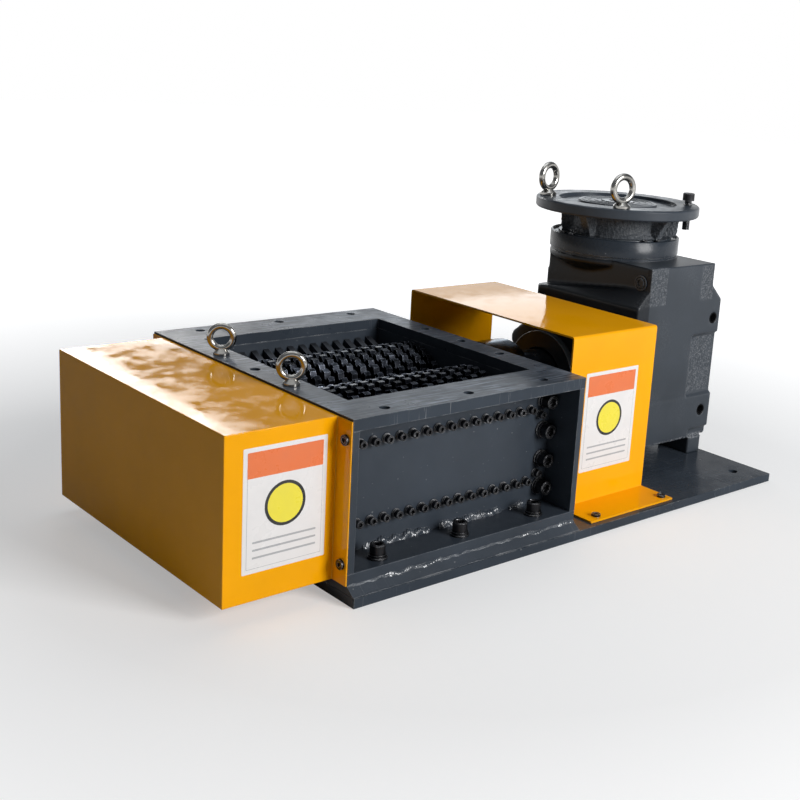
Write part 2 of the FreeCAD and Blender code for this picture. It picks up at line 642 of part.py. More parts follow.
LEFT_HOLES = "chamber_middle - (chamber_length/2 - top_hole_end)"
corner = "bolt_circle/2*sqrt(0.5)"
keep(eyebolt("chamber_eyebolt_front", LEFT_HOLES, "-short_pitch", "chamber_top"),
     eyebolt("chamber_eyebolt_back", LEFT_HOLES, "short_pitch", "chamber_top"),
     eyebolt("flange_eyebolt_back", "gearbox_middle - " + corner, "input_offset + " + corner,
             "flange_top"),
     eyebolt("flange_eyebolt_front", "gearbox_middle - " + corner, "input_offset - " + corner,
             "flange_top"))

# Motor screw left half out of its flange hole
screw_x = "gearbox_middle + " + corner
screw_y = "input_offset - " + corner
screw_head = rod("screw_head", "z", screw_x, screw_y, "flange_top + screw_proud", "screw_head",
                 "screw_head_tall")
screw_shank = rod("screw_shank", "z", screw_x, screw_y, "flange_bottom - screw_below", "eye_shank",
                  "motor_flange_thick + screw_below + screw_proud + 1")
keep(fuse("flange_screw", screw_head, screw_shank))

# Every object is sound before anything is written
doc.recompute()
for thing in doc.Objects:
    if "Invalid" in thing.State or "Error" in thing.State:
        raise ValueError("%s failed: %s" % (thing.Name, thing.State))
os.makedirs("parts", exist_ok=True)
for node in nodes:
    if node.Shape.isNull() or not node.Shape.isValid() or not node.Shape.Solids:
        raise ValueError("%s has no sound shape" % node.Label)
    node.Shape.exportStep("parts/%s.step" % node.Label)
print(len(nodes), "nodes written")
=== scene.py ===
import json
import math

import bmesh
import bpy
import numpy as np
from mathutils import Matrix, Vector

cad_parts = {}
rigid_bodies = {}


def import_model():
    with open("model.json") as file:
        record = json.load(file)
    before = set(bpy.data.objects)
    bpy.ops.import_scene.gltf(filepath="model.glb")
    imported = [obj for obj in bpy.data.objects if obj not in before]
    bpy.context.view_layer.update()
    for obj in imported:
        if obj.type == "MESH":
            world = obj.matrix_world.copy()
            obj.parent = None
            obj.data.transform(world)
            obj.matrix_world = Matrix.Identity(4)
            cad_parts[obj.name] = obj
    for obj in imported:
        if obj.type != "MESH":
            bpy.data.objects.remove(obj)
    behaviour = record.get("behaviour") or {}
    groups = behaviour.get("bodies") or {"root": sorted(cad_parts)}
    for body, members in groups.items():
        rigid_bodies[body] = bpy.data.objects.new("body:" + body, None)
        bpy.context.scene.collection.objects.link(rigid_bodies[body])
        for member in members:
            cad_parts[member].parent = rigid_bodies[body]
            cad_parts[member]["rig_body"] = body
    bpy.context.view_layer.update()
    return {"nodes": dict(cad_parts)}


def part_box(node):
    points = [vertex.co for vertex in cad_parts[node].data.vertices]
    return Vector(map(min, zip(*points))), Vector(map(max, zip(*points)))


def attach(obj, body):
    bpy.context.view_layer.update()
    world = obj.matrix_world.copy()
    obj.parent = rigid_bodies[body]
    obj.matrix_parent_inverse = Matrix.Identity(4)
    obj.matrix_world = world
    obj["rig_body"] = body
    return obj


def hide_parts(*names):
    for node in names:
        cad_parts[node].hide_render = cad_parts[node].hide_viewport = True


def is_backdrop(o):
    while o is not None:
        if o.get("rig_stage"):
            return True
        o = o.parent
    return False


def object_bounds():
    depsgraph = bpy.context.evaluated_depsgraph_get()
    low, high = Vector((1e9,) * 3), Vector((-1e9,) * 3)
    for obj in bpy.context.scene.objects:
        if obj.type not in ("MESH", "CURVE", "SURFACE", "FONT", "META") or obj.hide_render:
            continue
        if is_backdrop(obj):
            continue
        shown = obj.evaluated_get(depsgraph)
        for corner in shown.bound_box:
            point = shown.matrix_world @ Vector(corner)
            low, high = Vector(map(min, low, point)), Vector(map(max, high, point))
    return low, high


# Double shaft shredder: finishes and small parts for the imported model, in metres and in its
# frame, section by section as the machine is put together.
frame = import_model()
nodes = frame["nodes"]

# Base plate: 12 mm rolled plate, flame cut, with a window under the rotors and two bolt
# holes at the gearbox end. Sprayed slate grey with the rest of the machine, semi-gloss, and
# scuffed to bare metal along its corners.
SLATE = (0.034, 0.043, 0.056)
BARE_STEEL = (0.34, 0.35, 0.36)
PLATE_CORNER = 0.0012


def node_maker(tree):
    """Two ways to fill a node tree: one adds a node, the other sets or links a socket."""
    def wire(value, socket):
        if isinstance(value, bpy.types.NodeSocket):
            tree.links.new(value, socket)
        elif isinstance(value, tuple) and len(value) == 3 and socket.type == "RGBA":
            socket.default_value = (*value, 1.0)
        else:
            socket.default_value = value

    def add(kind, inputs=None, **settings):
        made = tree.nodes.new("ShaderNode" + kind)
        for key, value in settings.items():
            setattr(made, key, value)
        for socket, value in (inputs or {}).items():
            wire(value, made.inputs[socket])
        return made

    return add, wire


def new_material(name):
    """An empty finish: a way to add nodes to it and a way to set its shader, which gives it."""
    material = bpy.data.materials.new(name)
    material.use_nodes = True
    add, wire = node_maker(material.node_tree)

    def shade(**inputs):
        shader = material.node_tree.nodes["Principled BSDF"]
        for key, value in inputs.items():
            wire(value, shader.inputs[key.replace("_", " ")])
        return material

    return add, shade


def noise(add, place, scale, detail=3, roughness=0.55):
    """A cloudy number between 0 and 1 at each place."""
    return add("TexNoise", {"Vector": place, "Scale": scale, "Detail": detail,
                            "Roughness": roughness}).outputs["Fac"]


def ramp(add, value, low, high, to_low=0.0, to_high=1.0):
    """The value's share of the way from low to high, spread between two others."""
    return add("MapRange", {"Value": value, "From Min": low, "From Max": high, "To Min": to_low,
                            "To Max": to_high}).outputs["Result"]


def blend(add, factor, first, second):
    """One colour laid over another by a factor."""
    return add("Mix", {0: factor, 6: first, 7: second}, data_type="RGBA").outputs[2]


def maths(add, operation, first, second=0.5):
    """One sum on two numbers."""
    return add("Math", {0: first, 1: second}, operation=operation).outputs["Value"]


def worn_corner(add, radius, low=0.02, high=0.16):
    """How far the normal, averaged over a small radius, leaves the face's own: high at corners."""
    rolled = add("Bevel", {"Radius": radius}, samples=4).outputs["Normal"]
    facing = add("VectorMath", {0: rolled, 1: add("NewGeometry").outputs["Normal"]},
                 operation="DOT_PRODUCT").outputs["Value"]
    return ramp(add, facing, 1 - low, 1 - high)


def scratches(add, place, turn):
    """Thin straight marks: a noise drawn out along one direction, of which the peaks stay."""
    lanes = add("Mapping", {"Vector": place, "Rotation": turn, "Scale": (900.0, 14.0, 14.0)})
    return ramp(add, noise(add, lanes.outputs["Vector"], 1.0, 2), 0.68, 0.74)


def sprayed(name, colour, roughness=0.36, coat=0.0, wear=0.6, scuffs=0.0, grain=0.00004,
            drift=1.0, specks=0.5, shine=0.5, warp=0.0004, rubs_and_sheen=0.0):
    """Sprayed paint: the colour drifts with a broad noise and the gloss with a finer one, a
    fine ripple over slow waves gives orange peel, and corners, scratches and small specks
    show bare steel. Rubs and sheen are pale bluish streaks along X on level faces only, a
    noise drawn out that way, which comes in patches: partly rubbed paint, partly painted sheen."""
    add, shade = new_material(name)
    place = add("TexCoord").outputs["Object"]
    broad = noise(add, place, 8, 5)
    dusty = noise(add, place, 45, 4)
    dark = tuple(c * (1 - 0.18 * drift) for c in colour)
    light = tuple(c * (1 + 0.18 * drift) for c in colour)
    body = blend(add, ramp(add, broad, 0.3, 0.7), dark, light)
    # Rubs and sheen: pale bluish streaks laid only on level faces, partly rubbed paint and partly painted
    # sheen
    if rubs_and_sheen:
        lanes = add("Mapping", {"Vector": place, "Scale": (16.0, 260.0, 260.0)}).outputs["Vector"]
        rub_and_sheen_patches = ramp(add, noise(add, place, 13, 4, 0.6), 0.42, 0.62, 0.2 * rubs_and_sheen, rubs_and_sheen)
        level = add("SeparateXYZ", {"Vector": add("NewGeometry").outputs["Normal"]}).outputs["Z"]
        rub_and_sheen_patches = maths(add, "MULTIPLY", rub_and_sheen_patches, ramp(add, level, 0.8, 0.95))
        body = blend(add, maths(add, "MULTIPLY", rub_and_sheen_patches, ramp(add, noise(add, lanes, 1.0, 3, 0.7),
                                                               0.45, 0.68)), body,
                     (0.52, 0.59, 0.70))
    chipped = maths(add, "MULTIPLY", worn_corner(add, 0.0016), ramp(add, dusty, 0.42, 0.62, 0, wear))
    marks = maths(add, "ADD", scratches(add, place, (0.2, 0.1, 0.5)),
                  scratches(add, place, (0.4, 0.3, 2.0)))
    marks = maths(add, "MULTIPLY", marks, ramp(add, broad, 0.45, 0.65, 0, scuffs))
    chipped = maths(add, "MAXIMUM", chipped, ramp(add, noise(add, place, 230, 1), 0.775, 0.80, 0, specks))
    bare = add("Math", {0: chipped, 1: marks}, operation="MAXIMUM", use_clamp=True).outputs["Value"]
    peel = noise(add, place, 700, 2)
    waves = add("Bump", {"Strength": 1.0, "Distance": warp, "Height": noise(add, place, 14, 5, 0.62)})
    bump = add("Bump", {"Strength": 1.0, "Distance": grain, "Height": peel,
                        "Normal": waves.outputs["Normal"]})
    rough = maths(add, "ADD", ramp(add, dusty, 0.3, 0.7, roughness - 0.07, roughness + 0.08),
                  maths(add, "MULTIPLY", bare, 0.12))
    return shade(Base_Color=blend(add, bare, body, BARE_STEEL), Roughness=rough,
                 Metallic=maths(add, "MULTIPLY", bare, 0.8), Normal=bump.outputs["Normal"],
                 Coat_Weight=coat, Coat_Roughness=0.06, Specular_IOR_Level=shine)


slate_paint = sprayed("slate paint", SLATE, coat=0.05, shine=0.3)
# The plate's top carries faint pale streaks, partly rubs and partly painted sheen
plate_paint = sprayed("plate paint", SLATE, roughness=0.2, wear=0.9, scuffs=0.5, shine=0.18,
                      grain=0.000008, warp=0.0001, rubs_and_sheen=0.025)


def smooth_by_angle(mesh, degrees):
    """Rounds the shading of a mesh except across edges sharper than an angle."""
    mesh.polygons.foreach_set("use_smooth", np.ones(len(mesh.polygons), bool))
    mesh.set_sharp_from_angle(angle=math.radians(degrees))


def put(name, data):
    """A mesh, lamp or camera as an object in the scene."""
    made = bpy.data.objects.new(name, data)
    bpy.context.scene.collection.objects.link(made)
    return made


def settle(mesh, name, material, body):
    """A mesh as a finished piece of the machine, riding on its body."""
    mesh.name = name
    mesh.materials.clear()
    mesh.materials.append(material)
    made = put(name, mesh)
    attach(made, body)
    return made


def node_mesh(*names):
    """The solids of some nodes as one clean mesh, flat faces whole and corners merged."""
    shape = bmesh.new()
    for name in names:
        shape.from_mesh(nodes[name].data)
    bmesh.ops.remove_doubles(shape, verts=shape.verts, dist=1e-6)
    bmesh.ops.dissolve_limit(shape, angle_limit=math.radians(0.5), verts=shape.verts,
                             edges=shape.edges)
    mesh = bpy.data.meshes.new("solids")
    shape.to_mesh(mesh)
    shape.free()
    if "custom_normal" in mesh.attributes:
        mesh.attributes.remove(mesh.attributes["custom_normal"])
    return mesh


def rolled(node, name, corner, material, slot="frame_paint", steps=3):
    """A node's plate or sheet with its corners rolled to a radius, as cutting leaves them."""
    made = settle(node_mesh(node), name, material, nodes[node]["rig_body"])
    smooth_by_angle(made.data, 30)
    bevel = made.modifiers.new("corner", "BEVEL")
    bevel.width = corner
    bevel.segments = steps
    bevel.limit_method = "ANGLE"
    bevel.angle_limit = math.radians(35)
    bevel.harden_normals = True
    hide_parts(node)
    return made


rolled("base_plate", "base_plate_painted", PLATE_CORNER, plate_paint)

# Sole bar: a bevelled frame welded round its long edges to the base plate and the chamber.
# The welds are laid by hand in short stitches, then painted over, so the beads still show.
RIPPLE = 0.0042


def skin(rings, loop=False):
    """Rings of points joined by faces into a closed skin. The first and last ring are closed
    by a cap, or joined to each other when the rings themselves run in a loop."""
    rings = np.asarray(rings, float)
    count, size = rings.shape[:2]
    ring = np.arange(count if loop else count - 1)[:, None]
    spot = np.arange(size)[None]
    after, beside = (ring + 1) % count, (spot + 1) % size
    quads = np.stack([ring * size + spot, ring * size + beside, after * size + beside,
                      after * size + spot], axis=-1).reshape(-1, 4)
    caps = [] if loop else [list(range(size))[::-1], list(range((count - 1) * size, count * size))]
    return rings.reshape(-1, 3), quads.tolist() + caps


def piece(name, skins, material, body="machine", degrees=32):
    """One finished piece from its skins, with doubles merged and faces turned outwards."""
    shape = bmesh.new()
    for points, faces in skins:
        part = bpy.data.meshes.new("skin")
        part.from_pydata(points.tolist(), [], faces)
        shape.from_mesh(part)
        bpy.data.meshes.remove(part)
    bmesh.ops.remove_doubles(shape, verts=shape.verts, dist=1e-7)
    bmesh.ops.recalc_face_normals(shape, faces=shape.faces)
    mesh = bpy.data.meshes.new(name)
    shape.to_mesh(mesh)
    shape.free()
    smooth_by_angle(mesh, degrees)
    return settle(mesh, name, material, body)


def weld(start, end, side, up, reach, seed, rough=0.15):
    """A fillet weld: a bulging corner section carried along a line. Its reach swells and
    shrinks in ripples that lean back at the middle of the bead, wanders by a sum of sines
    whose waves cross it at a slant, and fades out at both ends."""
    start, end, side, up = (np.array(v, float) for v in (start, end, side, up))
    length = np.linalg.norm(end - start)
    along = np.linspace(0, length, int(length / 0.0008))[:, None]
    turn = np.linspace(0, math.pi / 2, 9)[None]
    lean = 0.5 * reach * np.sin(2 * turn)
    ripple = np.abs(np.sin(math.pi * (along + lean) / RIPPLE + seed)) ** 0.7
    draw = np.random.default_rng(seed)
    wander = 1 + rough * sum(np.sin(2 * math.pi * along / span + slant * turn + phase) / 2
                             for span, slant, phase in zip(draw.uniform(0.010, 0.05, 7),
                                                           draw.uniform(-2, 2, 7),
                                                           draw.uniform(0, 6, 7)))
    bulge = (np.cos(turn) ** 1.6 + np.sin(turn) ** 1.6) ** (-1 / 1.6)
    fade = np.clip(np.minimum(along, length - along) / (1.5 * reach) + 0.25, 0, 1) ** 0.5
    out = reach * fade * wander * bulge * (0.80 + 0.20 * ripple)
    arc = (start + (end - start) * (along / length)[..., None]
           + (out * np.cos(turn))[..., None] * side + (out * np.sin(turn))[..., None] * up)
    corner = (start + (end - start) * along / length)[:, None, :]
    return skin(np.concatenate([corner, arc], axis=1))


ground_paint = sprayed("ground slate paint", SLATE, roughness=0.42, wear=0.5, scuffs=0.3,
                       grain=0.0003, shine=0.4)
weld_paint = sprayed("weld paint", SLATE, roughness=0.26, coat=0.3, wear=0.5, grain=0.00006)
rolled("sole_frame", "sole_painted", 0.0006, ground_paint)
sole_low, sole_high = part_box("sole_frame")
ring_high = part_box("bottom_frame")[1]
SOLE_BEAD = 0.0015
# Heavier stitches over the thin bead, as start and end from the sole's left end
STITCHES = ((0.052, 0.136), (0.262, 0.296), (0.318, 0.352))
sole_beads, stitches = [], []
for hand in (-1, 1):
    foot = hand * (sole_high.y - 0.0002)
    shoulder = hand * ring_high.y
    sole_beads.append(weld((sole_low.x, foot, sole_low.z), (sole_high.x, foot, sole_low.z),
                           (0, hand, 0), (0, 0, 1), SOLE_BEAD * 0.65, 1, 0.2))
    sole_beads.append(weld((sole_low.x, shoulder, sole_high.z), (sole_high.x, shoulder, sole_high.z),
                           (0, hand, -0.7), (0, 0, 1), SOLE_BEAD, 2, 0.3))
    for number, (first, last) in enumerate(STITCHES):
        stitches.append(weld((sole_low.x + first, shoulder, sole_high.z),
                             (sole_low.x + last, shoulder, sole_high.z),
                             (0, hand, -0.7), (0, 0, 1), SOLE_BEAD * 1.6, 5 + number, 0.25))
# A drop of weld left on the base plate beside the gearbox
stitches.append(weld((0.2165, -0.1975, sole_low.z), (0.2255, -0.1975, sole_low.z), (0, -1, 0),
                     (0, 0, 0.6), 0.0024, 9))
piece("sole_welds", sole_beads, ground_paint, degrees=60)
piece("sole_stitches", stitches, weld_paint, degrees=60)

# Chamber: flame cut rings above and below, end plates, thick bearing plates inside them and
# side walls set back in a recess, all welded up and sprayed. The top ring is scuffed bright
# where hoppers have been bolted on, and the pale bluish streaks on its level faces are
# partly rubs and partly painted sheen.
FRAME_CORNER = 0.0009
scuffed_paint = sprayed("scuffed slate paint", SLATE, roughness=0.33, wear=1.0, scuffs=0.9,
                        shine=0.17, rubs_and_sheen=0.5)
rolled("top_frame", "top_frame_painted", FRAME_CORNER, scuffed_paint)
rolled("bottom_frame", "bottom_frame_painted", FRAME_CORNER, slate_paint)
for plate_name in ("end_plate_left", "end_plate_right", "side_wall_front", "side_wall_back"):
    rolled(plate_name, plate_name + "_painted", 0.0005, slate_paint)
for plate_name in ("bearing_plate_left", "bearing_plate_right"):
    nodes[plate_name].data.materials[0] = slate_paint

wall_low, wall_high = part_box("side_wall_front")
chamber_x, rotor_z = (wall_low.x + wall_high.x) / 2, (wall_low.z + wall_high.z) / 2
WALL_BEAD = 0.0062
# Runs of the bead under the wall, as start and end from its middle
WALL_RUNS = ((-0.168, -0.139), (-0.121, -0.022), (-0.008, 0.094), (0.108, 0.134))
pocket_beads, corner_beads = [], []
for hand in (-1, 1):
    wall_y = hand * -wall_low.y
    for number, (first, last) in enumerate(WALL_RUNS):
        pocket_beads.append(weld((chamber_x + first, wall_y, wall_low.z),
                                 (chamber_x + last, wall_y, wall_low.z),
                                 (0, 0.8 * hand, 0), (0, 0, 1.2), WALL_BEAD, 11 + number, 0.16))
    corner_beads.append(weld((wall_low.x, wall_y, wall_high.z), (wall_high.x, wall_y, wall_high.z),
                             (0, hand, 0), (0, 0, -1), WALL_BEAD * 0.4, 21))
piece("pocket_welds", pocket_beads, weld_paint, degrees=60)
piece("pocket_corner_welds", corner_beads, slate_paint, degrees=60)

# Screws of the chamber: two rows of M6 cap screws hold the combs through each side wall,
# M12 cap screws on spring and flat washers draw the walls against the bearing plates, and
# three more on each side hold the chamber to the sole. Black oxide, rubbed bright at the rims.
KNIFE_PITCH = 0.0188
COMB_ROW = 0.0475


def turned(profile, steps=36, loop=False):
    """A surface of revolution about Z. Each row of the profile is a radius, a height and how
    hexagonal the ring is: at 1 the ring is a hexagon whose flats lie at the radius."""
    profile = np.asarray(profile, float)
    angle = np.linspace(0, 2 * math.pi, steps, endpoint=False)[None]
    hexed = 1 / np.cos((angle + math.pi / 6) % (math.pi / 3) - math.pi / 6)
    radius = profile[:, :1] * (1 + profile[:, 2:3] * (hexed - 1))
    height = np.broadcast_to(profile[:, 1:2], radius.shape)
    return skin(np.stack([radius * np.cos(angle), radius * np.sin(angle), height], axis=-1), loop)


FACING = {"up": ((1, 0, 0), (0, 1, 0), (0, 0, 1)), "down": ((1, 0, 0), (0, -1, 0), (0, 0, -1)),
          "front": ((1, 0, 0), (0, 0, -1), (0, 1, 0)), "back": ((-1, 0, 0), (0, 0, 1), (0, 1, 0)),
          "left": ((0, 0, -1), (0, 1, 0), (1, 0, 0)), "right": ((0, 0, 1), (0, 1, 0), (-1, 0, 0))}


def standing(shape, facing, places):
    """The same skin at many places, its own Z turned to face one way."""
    points, faces = shape
    turned_points = points @ np.array(FACING[facing], float).T
    places = np.asarray(places, float)
    spread = (places[:, None, :] + turned_points[None]).reshape(-1, 3)
    size = len(points)
    return spread, [[corner + size * k for corner in face] for k in range(len(places))
                    for face in faces]


def cap_screw(radius, height, flats, rise=0.0):
    """A socket cap screw's head: a short cylinder with a chamfered rim and a hexagonal hole."""
    rim = 0.1 * radius
    mouth = flats / 2 * 1.18
    return turned([(radius, rise, 0), (radius, rise + height - rim, 0),
                   (radius - rim, rise + height, 0), (mouth, rise + height, 0),
                   (flats / 2, rise + height - rim, 1), (flats / 2, rise + 0.45 * height, 1)])


def washer(inner, outer, thick, rise=0.0):
    """A flat ring with its outer rim a little rounded."""
    soft = 0.18 * thick
    return turned([(inner, rise, 0), (outer - soft, rise, 0), (outer, rise + soft, 0),
                   (outer, rise + thick - soft, 0), (outer - soft, rise + thick, 0),
                   (inner, rise + thick, 0)], loop=True)


def spring_washer(inner, outer, thick, rise=0.0):
    """A split ring: a square section carried round most of a circle and rising a little."""
    turn = np.radians(np.linspace(8, 352, 44))[:, None]
    across = np.array([inner, outer, outer, inner])[None]
    up = rise + np.array([0, 0, thick, thick])[None] + 0.25 * thick * (turn / math.pi - 1)
    return skin(np.stack([across * np.cos(turn), across * np.sin(turn), up], axis=-1))


def metal(name, colour, roughness, worn=None, corner=0.0008, streak=0.0, grain=0.00002):
    """Bare or blackened steel: cloudy colour and gloss, fine turning marks, and corners
    rubbed to a brighter metal."""
    add, shade = new_material(name)
    place = add("TexCoord").outputs["Object"]
    cloud = noise(add, place, 60, 4)
    body = blend(add, ramp(add, cloud, 0.3, 0.7), tuple(c * 0.75 for c in colour),
                 tuple(min(1.0, c * 1.2) for c in colour))
    rubbed = maths(add, "MULTIPLY", worn_corner(add, corner), ramp(add, cloud, 0.3, 0.6, 0.35, 1))
    if worn:
        body = blend(add, rubbed, body, worn)
    bump = add("Bump", {"Strength": 1.0, "Distance": grain, "Height": noise(add, place, 1500, 2)})
    rough = ramp(add, cloud, 0.3, 0.7, roughness - 0.06, roughness + 0.08)
    return shade(Base_Color=body, Roughness=rough, Metallic=1.0, Normal=bump.outputs["Normal"],
                 Anisotropic=streak)


black_oxide = metal("black oxide", (0.040, 0.040, 0.043), 0.34, worn=(0.75, 0.76, 0.78))

# A head's radius, height and key, then the inner and outer radius and height of its washers
M6_HEAD, M12_HEAD = (0.005, 0.0063, 0.005), (0.009, 0.012, 0.010)
M6_FLAT, M6_SPRING = (0.0033, 0.0061, 0.0016), (0.0033, 0.0054, 0.0018)
M12_FLAT, M12_SPRING = (0.0064, 0.0118, 0.0025), (0.0064, 0.0104, 0.0028)
DRAW_BOLTS = [(across, up) for across in (-0.1545, 0.1565) for up in (0.0568, 0.0178, -0.0212, -0.0582)]
LONE_SCREWS = [(across, up) for across in (-0.1495, 0.1495) for up in (-0.0395, 0.0390)]
HOLD_DOWN_STEP, HOLD_DOWN_IN = 0.122, 0.020

m6_shapes = [cap_screw(*M6_HEAD, M6_FLAT[2] + M6_SPRING[2]), washer(*M6_FLAT),
             spring_washer(*M6_SPRING, M6_FLAT[2])]
m12_screw = cap_screw(*M12_HEAD, M12_FLAT[2] + M12_SPRING[2])
m12_rings = [washer(*M12_FLAT), spring_washer(*M12_SPRING, M12_FLAT[2])]
for side_name, hand, rows_of in (("front", -1, 15), ("back", 1, 14)):
    wall_y = hand * -wall_low.y
    steps = (np.arange(rows_of) - (rows_of - 1) / 2) * KNIFE_PITCH
    comb_places = [(chamber_x + step, wall_y, rotor_z + row) for row in (-COMB_ROW, COMB_ROW)
                   for step in steps] + [(chamber_x + across, wall_y, rotor_z + up)
                                         for across, up in LONE_SCREWS]
    piece("comb_screws_" + side_name, [standing(shape, side_name, comb_places) for shape in m6_shapes],
          black_oxide)
    draw_places = [(chamber_x + across, wall_y, rotor_z + up) for across, up in DRAW_BOLTS]
    hold_places = [(chamber_x + step, hand * (ring_high.y - HOLD_DOWN_IN), ring_high.z)
                   for step in (-HOLD_DOWN_STEP, 0, HOLD_DOWN_STEP)]
    for kind, shapes in (("bolts", [m12_screw]), ("washers", m12_rings)):
        piece("chamber_%s_%s" % (kind, side_name),
              [standing(shape, facing, places) for facing, places in
               ((side_name, draw_places), ("up", hold_places)) for shape in shapes],
              black_oxide)

# Combs: flame cut fingers between the knives, bare steel coloured dark, with
# bright edges where the knives' chips rub past.
comb_steel = metal("comb steel", (0.050, 0.054, 0.062), 0.42, worn=(0.13, 0.135, 0.145), corner=0.001)
for comb in ("comb_front", "comb_back"):
    nodes[comb].data.materials[0] = comb_steel

# Rotors: toothed knives and spacers of tool steel on a hexagonal shaft. The lands are
# ground and lighter in patches, the flanks and gullets are dark from hardening, and all of
# the steel is coloured far darker than bare steel, as painted shade inside the chamber.
KNIFE_TIP = 0.0805


def knife_steel(name, axis_y):
    """Hardened steel, lighter in patches on the lands at the knives' full radius and dark below it; its
    colours are far darker than bare steel, as painted shade inside the chamber.
    """
    add, shade = new_material(name)
    place = add("TexCoord").outputs["Object"]
    parts = add("SeparateXYZ", {"Vector": place})
    from_axis = add("CombineXYZ", {"Y": maths(add, "SUBTRACT", parts.outputs["Y"], axis_y),
                                   "Z": maths(add, "SUBTRACT", parts.outputs["Z"], rotor_z)})
    radius = add("VectorMath", {0: from_axis.outputs["Vector"]}, operation="LENGTH").outputs["Value"]
    land = ramp(add, radius, KNIFE_TIP - 0.0006, KNIFE_TIP - 0.0002)
    cloud = noise(add, place, 90, 4)
    # Painted shade as well as hardened steel: flank and land colours sit far below bare steel
    flank = blend(add, ramp(add, cloud, 0.3, 0.7), (0.012, 0.014, 0.019), (0.040, 0.044, 0.054))
    bright = blend(add, ramp(add, cloud, 0.45, 0.70), (0.008, 0.010, 0.014), (0.075, 0.086, 0.11))
    body = blend(add, land, flank, bright)
    rubbed = maths(add, "MULTIPLY", worn_corner(add, 0.0005), ramp(add, cloud, 0.3, 0.6, 0.3, 1))
    bump = add("Bump", {"Strength": 1.0, "Distance": 0.00005, "Height": noise(add, place, 1100, 2)})
    return shade(Base_Color=blend(add, rubbed, body, (0.62, 0.68, 0.80)), Metallic=1.0,
                 Roughness=ramp(add, cloud, 0.3, 0.7, 0.22, 0.36), Normal=bump.outputs["Normal"])


for rotor in ("drive", "idle"):
    low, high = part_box(rotor + "_knives")
    rotor_steel = knife_steel(rotor + " knife steel", (low.y + high.y) / 2)
    nodes[rotor + "_knives"].data.materials[0] = rotor_steel
    nodes[rotor + "_spacers"].data.materials[0] = rotor_steel
shaft_steel = metal("shaft steel", (0.42, 0.43, 0.45), 0.3)
for name in ("drive_shaft", "idle_shaft", "drive_gear", "idle_gear"):
    nodes[name].data.materials[0] = shaft_steel

# Gear cover: 2 mm sheet, folded and welded to a box, with a screwed ear down each side.
# Sprayed amber yellow with a high gloss.
AMBER = (0.93, 0.40, 0.002)
amber_paint = sprayed("amber paint", AMBER, roughness=0.075, wear=0.2, grain=0.000003, drift=0.3,
                      specks=0.0, shine=0.17, warp=0.00005)
rolled("gear_cover", "gear_cover_painted", 0.0026, amber_paint, "cover_paint", steps=4)
cover_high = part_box("gear_cover")[1]
COVER_SHEET, EAR_SCREW_IN, EAR_SCREW_HEIGHTS = 0.002, 0.0095, (0.045, 0.187)
BUTTON_HEAD = (0.0062, 0.0035, 0.005)
places = [(cover_high.x - COVER_SHEET, hand * (cover_high.y - EAR_SCREW_IN), height)
          for hand in (-1, 1) for height in EAR_SCREW_HEIGHTS]
button_screws = [standing(cap_screw(*BUTTON_HEAD), "left", places)]

# Coupling guard: one sheet of 2.5 mm, folded over the coupling, open at both ends and
# screwed down through its feet.
GUARD_SHEET, GUARD_FOLD = 0.0025, 0.0026
guard_low, guard_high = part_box("coupling_guard")
guard_inner = guard_high.y - 0.0575


def folded(corners, radius, thick, steps=7):
    """The section of a folded sheet: a line whose corners are arcs, given its thickness by
    moving it half of that to each side along its own normal."""
    corners = np.asarray(corners, float)
    line = [corners[:1]]
    for before, corner, after in zip(corners[:-2], corners[1:-1], corners[2:]):
        back = (before - corner) / np.linalg.norm(before - corner)
        on = (after - corner) / np.linalg.norm(after - corner)
        turn = np.linspace(0, math.pi / 2, steps)[:, None]
        line.append(corner + radius * (back * (1 - np.sin(turn)) + on * (1 - np.cos(turn))))
    line.append(corners[-1:])
    line = np.concatenate(line)
    slope = np.gradient(line, axis=0)
    slope /= np.linalg.norm(slope, axis=1)[:, None]
    aside = np.stack([-slope[:, 1], slope[:, 0]], axis=1) * thick / 2
    return np.concatenate([line + aside, (line - aside)[::-1]])


foot_z = guard_low.z + GUARD_SHEET / 2
side_y = guard_inner - GUARD_SHEET / 2
top_z = guard_high.z - GUARD_SHEET / 2
section = folded([(guard_low.y, foot_z), (-side_y, foot_z), (-side_y, top_z), (side_y, top_z),
                  (side_y, foot_z), (guard_high.y, foot_z)], GUARD_FOLD, GUARD_SHEET)
rings = [np.column_stack([np.full(len(section), x), section]) for x in (guard_low.x, guard_high.x)]
guard = piece("guard_folded", [skin(rings)], amber_paint)
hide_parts("coupling_guard")
GUARD_SCREW_IN, GUARD_SCREW_ENDS = 0.0115, (0.021, 0.153)
places = [(guard_low.x + step, hand * (guard_high.y - GUARD_SCREW_IN), guard_low.z + GUARD_SHEET)
          for hand in (-1, 1) for step in GUARD_SCREW_ENDS]
button_screws.append(standing(cap_screw(*BUTTON_HEAD), "up", places))
piece("cover_screws", button_screws, black_oxide)

# Bearing caps on the right end plate, each held by six screws, and the coupling behind the
# guard: two machined halves with a rubber ring between them, ground and oiled.
cap_low, cap_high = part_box("drive_bearing_cap")
axis_y = (cap_low.y + cap_high.y) / 2
CAP_SCREWS = 0.049
cap_screws = []
for hand in (-1, 1):
    turn = np.radians(np.arange(6) * 60 + 30)
    places = np.stack([np.full(6, cap_high.x), hand * axis_y + CAP_SCREWS * np.cos(turn),
                       rotor_z + CAP_SCREWS * np.sin(turn)], axis=1)
    cap_screws.append(standing(cap_screw(0.0065, 0.008, 0.006), "right", places))
piece("cap_screws", cap_screws, black_oxide)
for cap in ("drive_bearing_cap", "idle_bearing_cap"):
    rolled(cap, cap + "_painted", 0.001, slate_paint)
coupling_steel = metal("coupling steel", (0.13, 0.16, 0.20), 0.2, worn=(0.45, 0.48, 0.52),
                       grain=0.000006)
for half in ("coupling_shaft_half", "coupling_gearbox_half"):
    nodes[half].data.materials[0] = coupling_steel

# Gearbox: one grey iron casting, rough where the sand left it and milled on its pads, on
# four feet. Sprayed slate grey over both.
GEARBOX_CELL = 0.0021


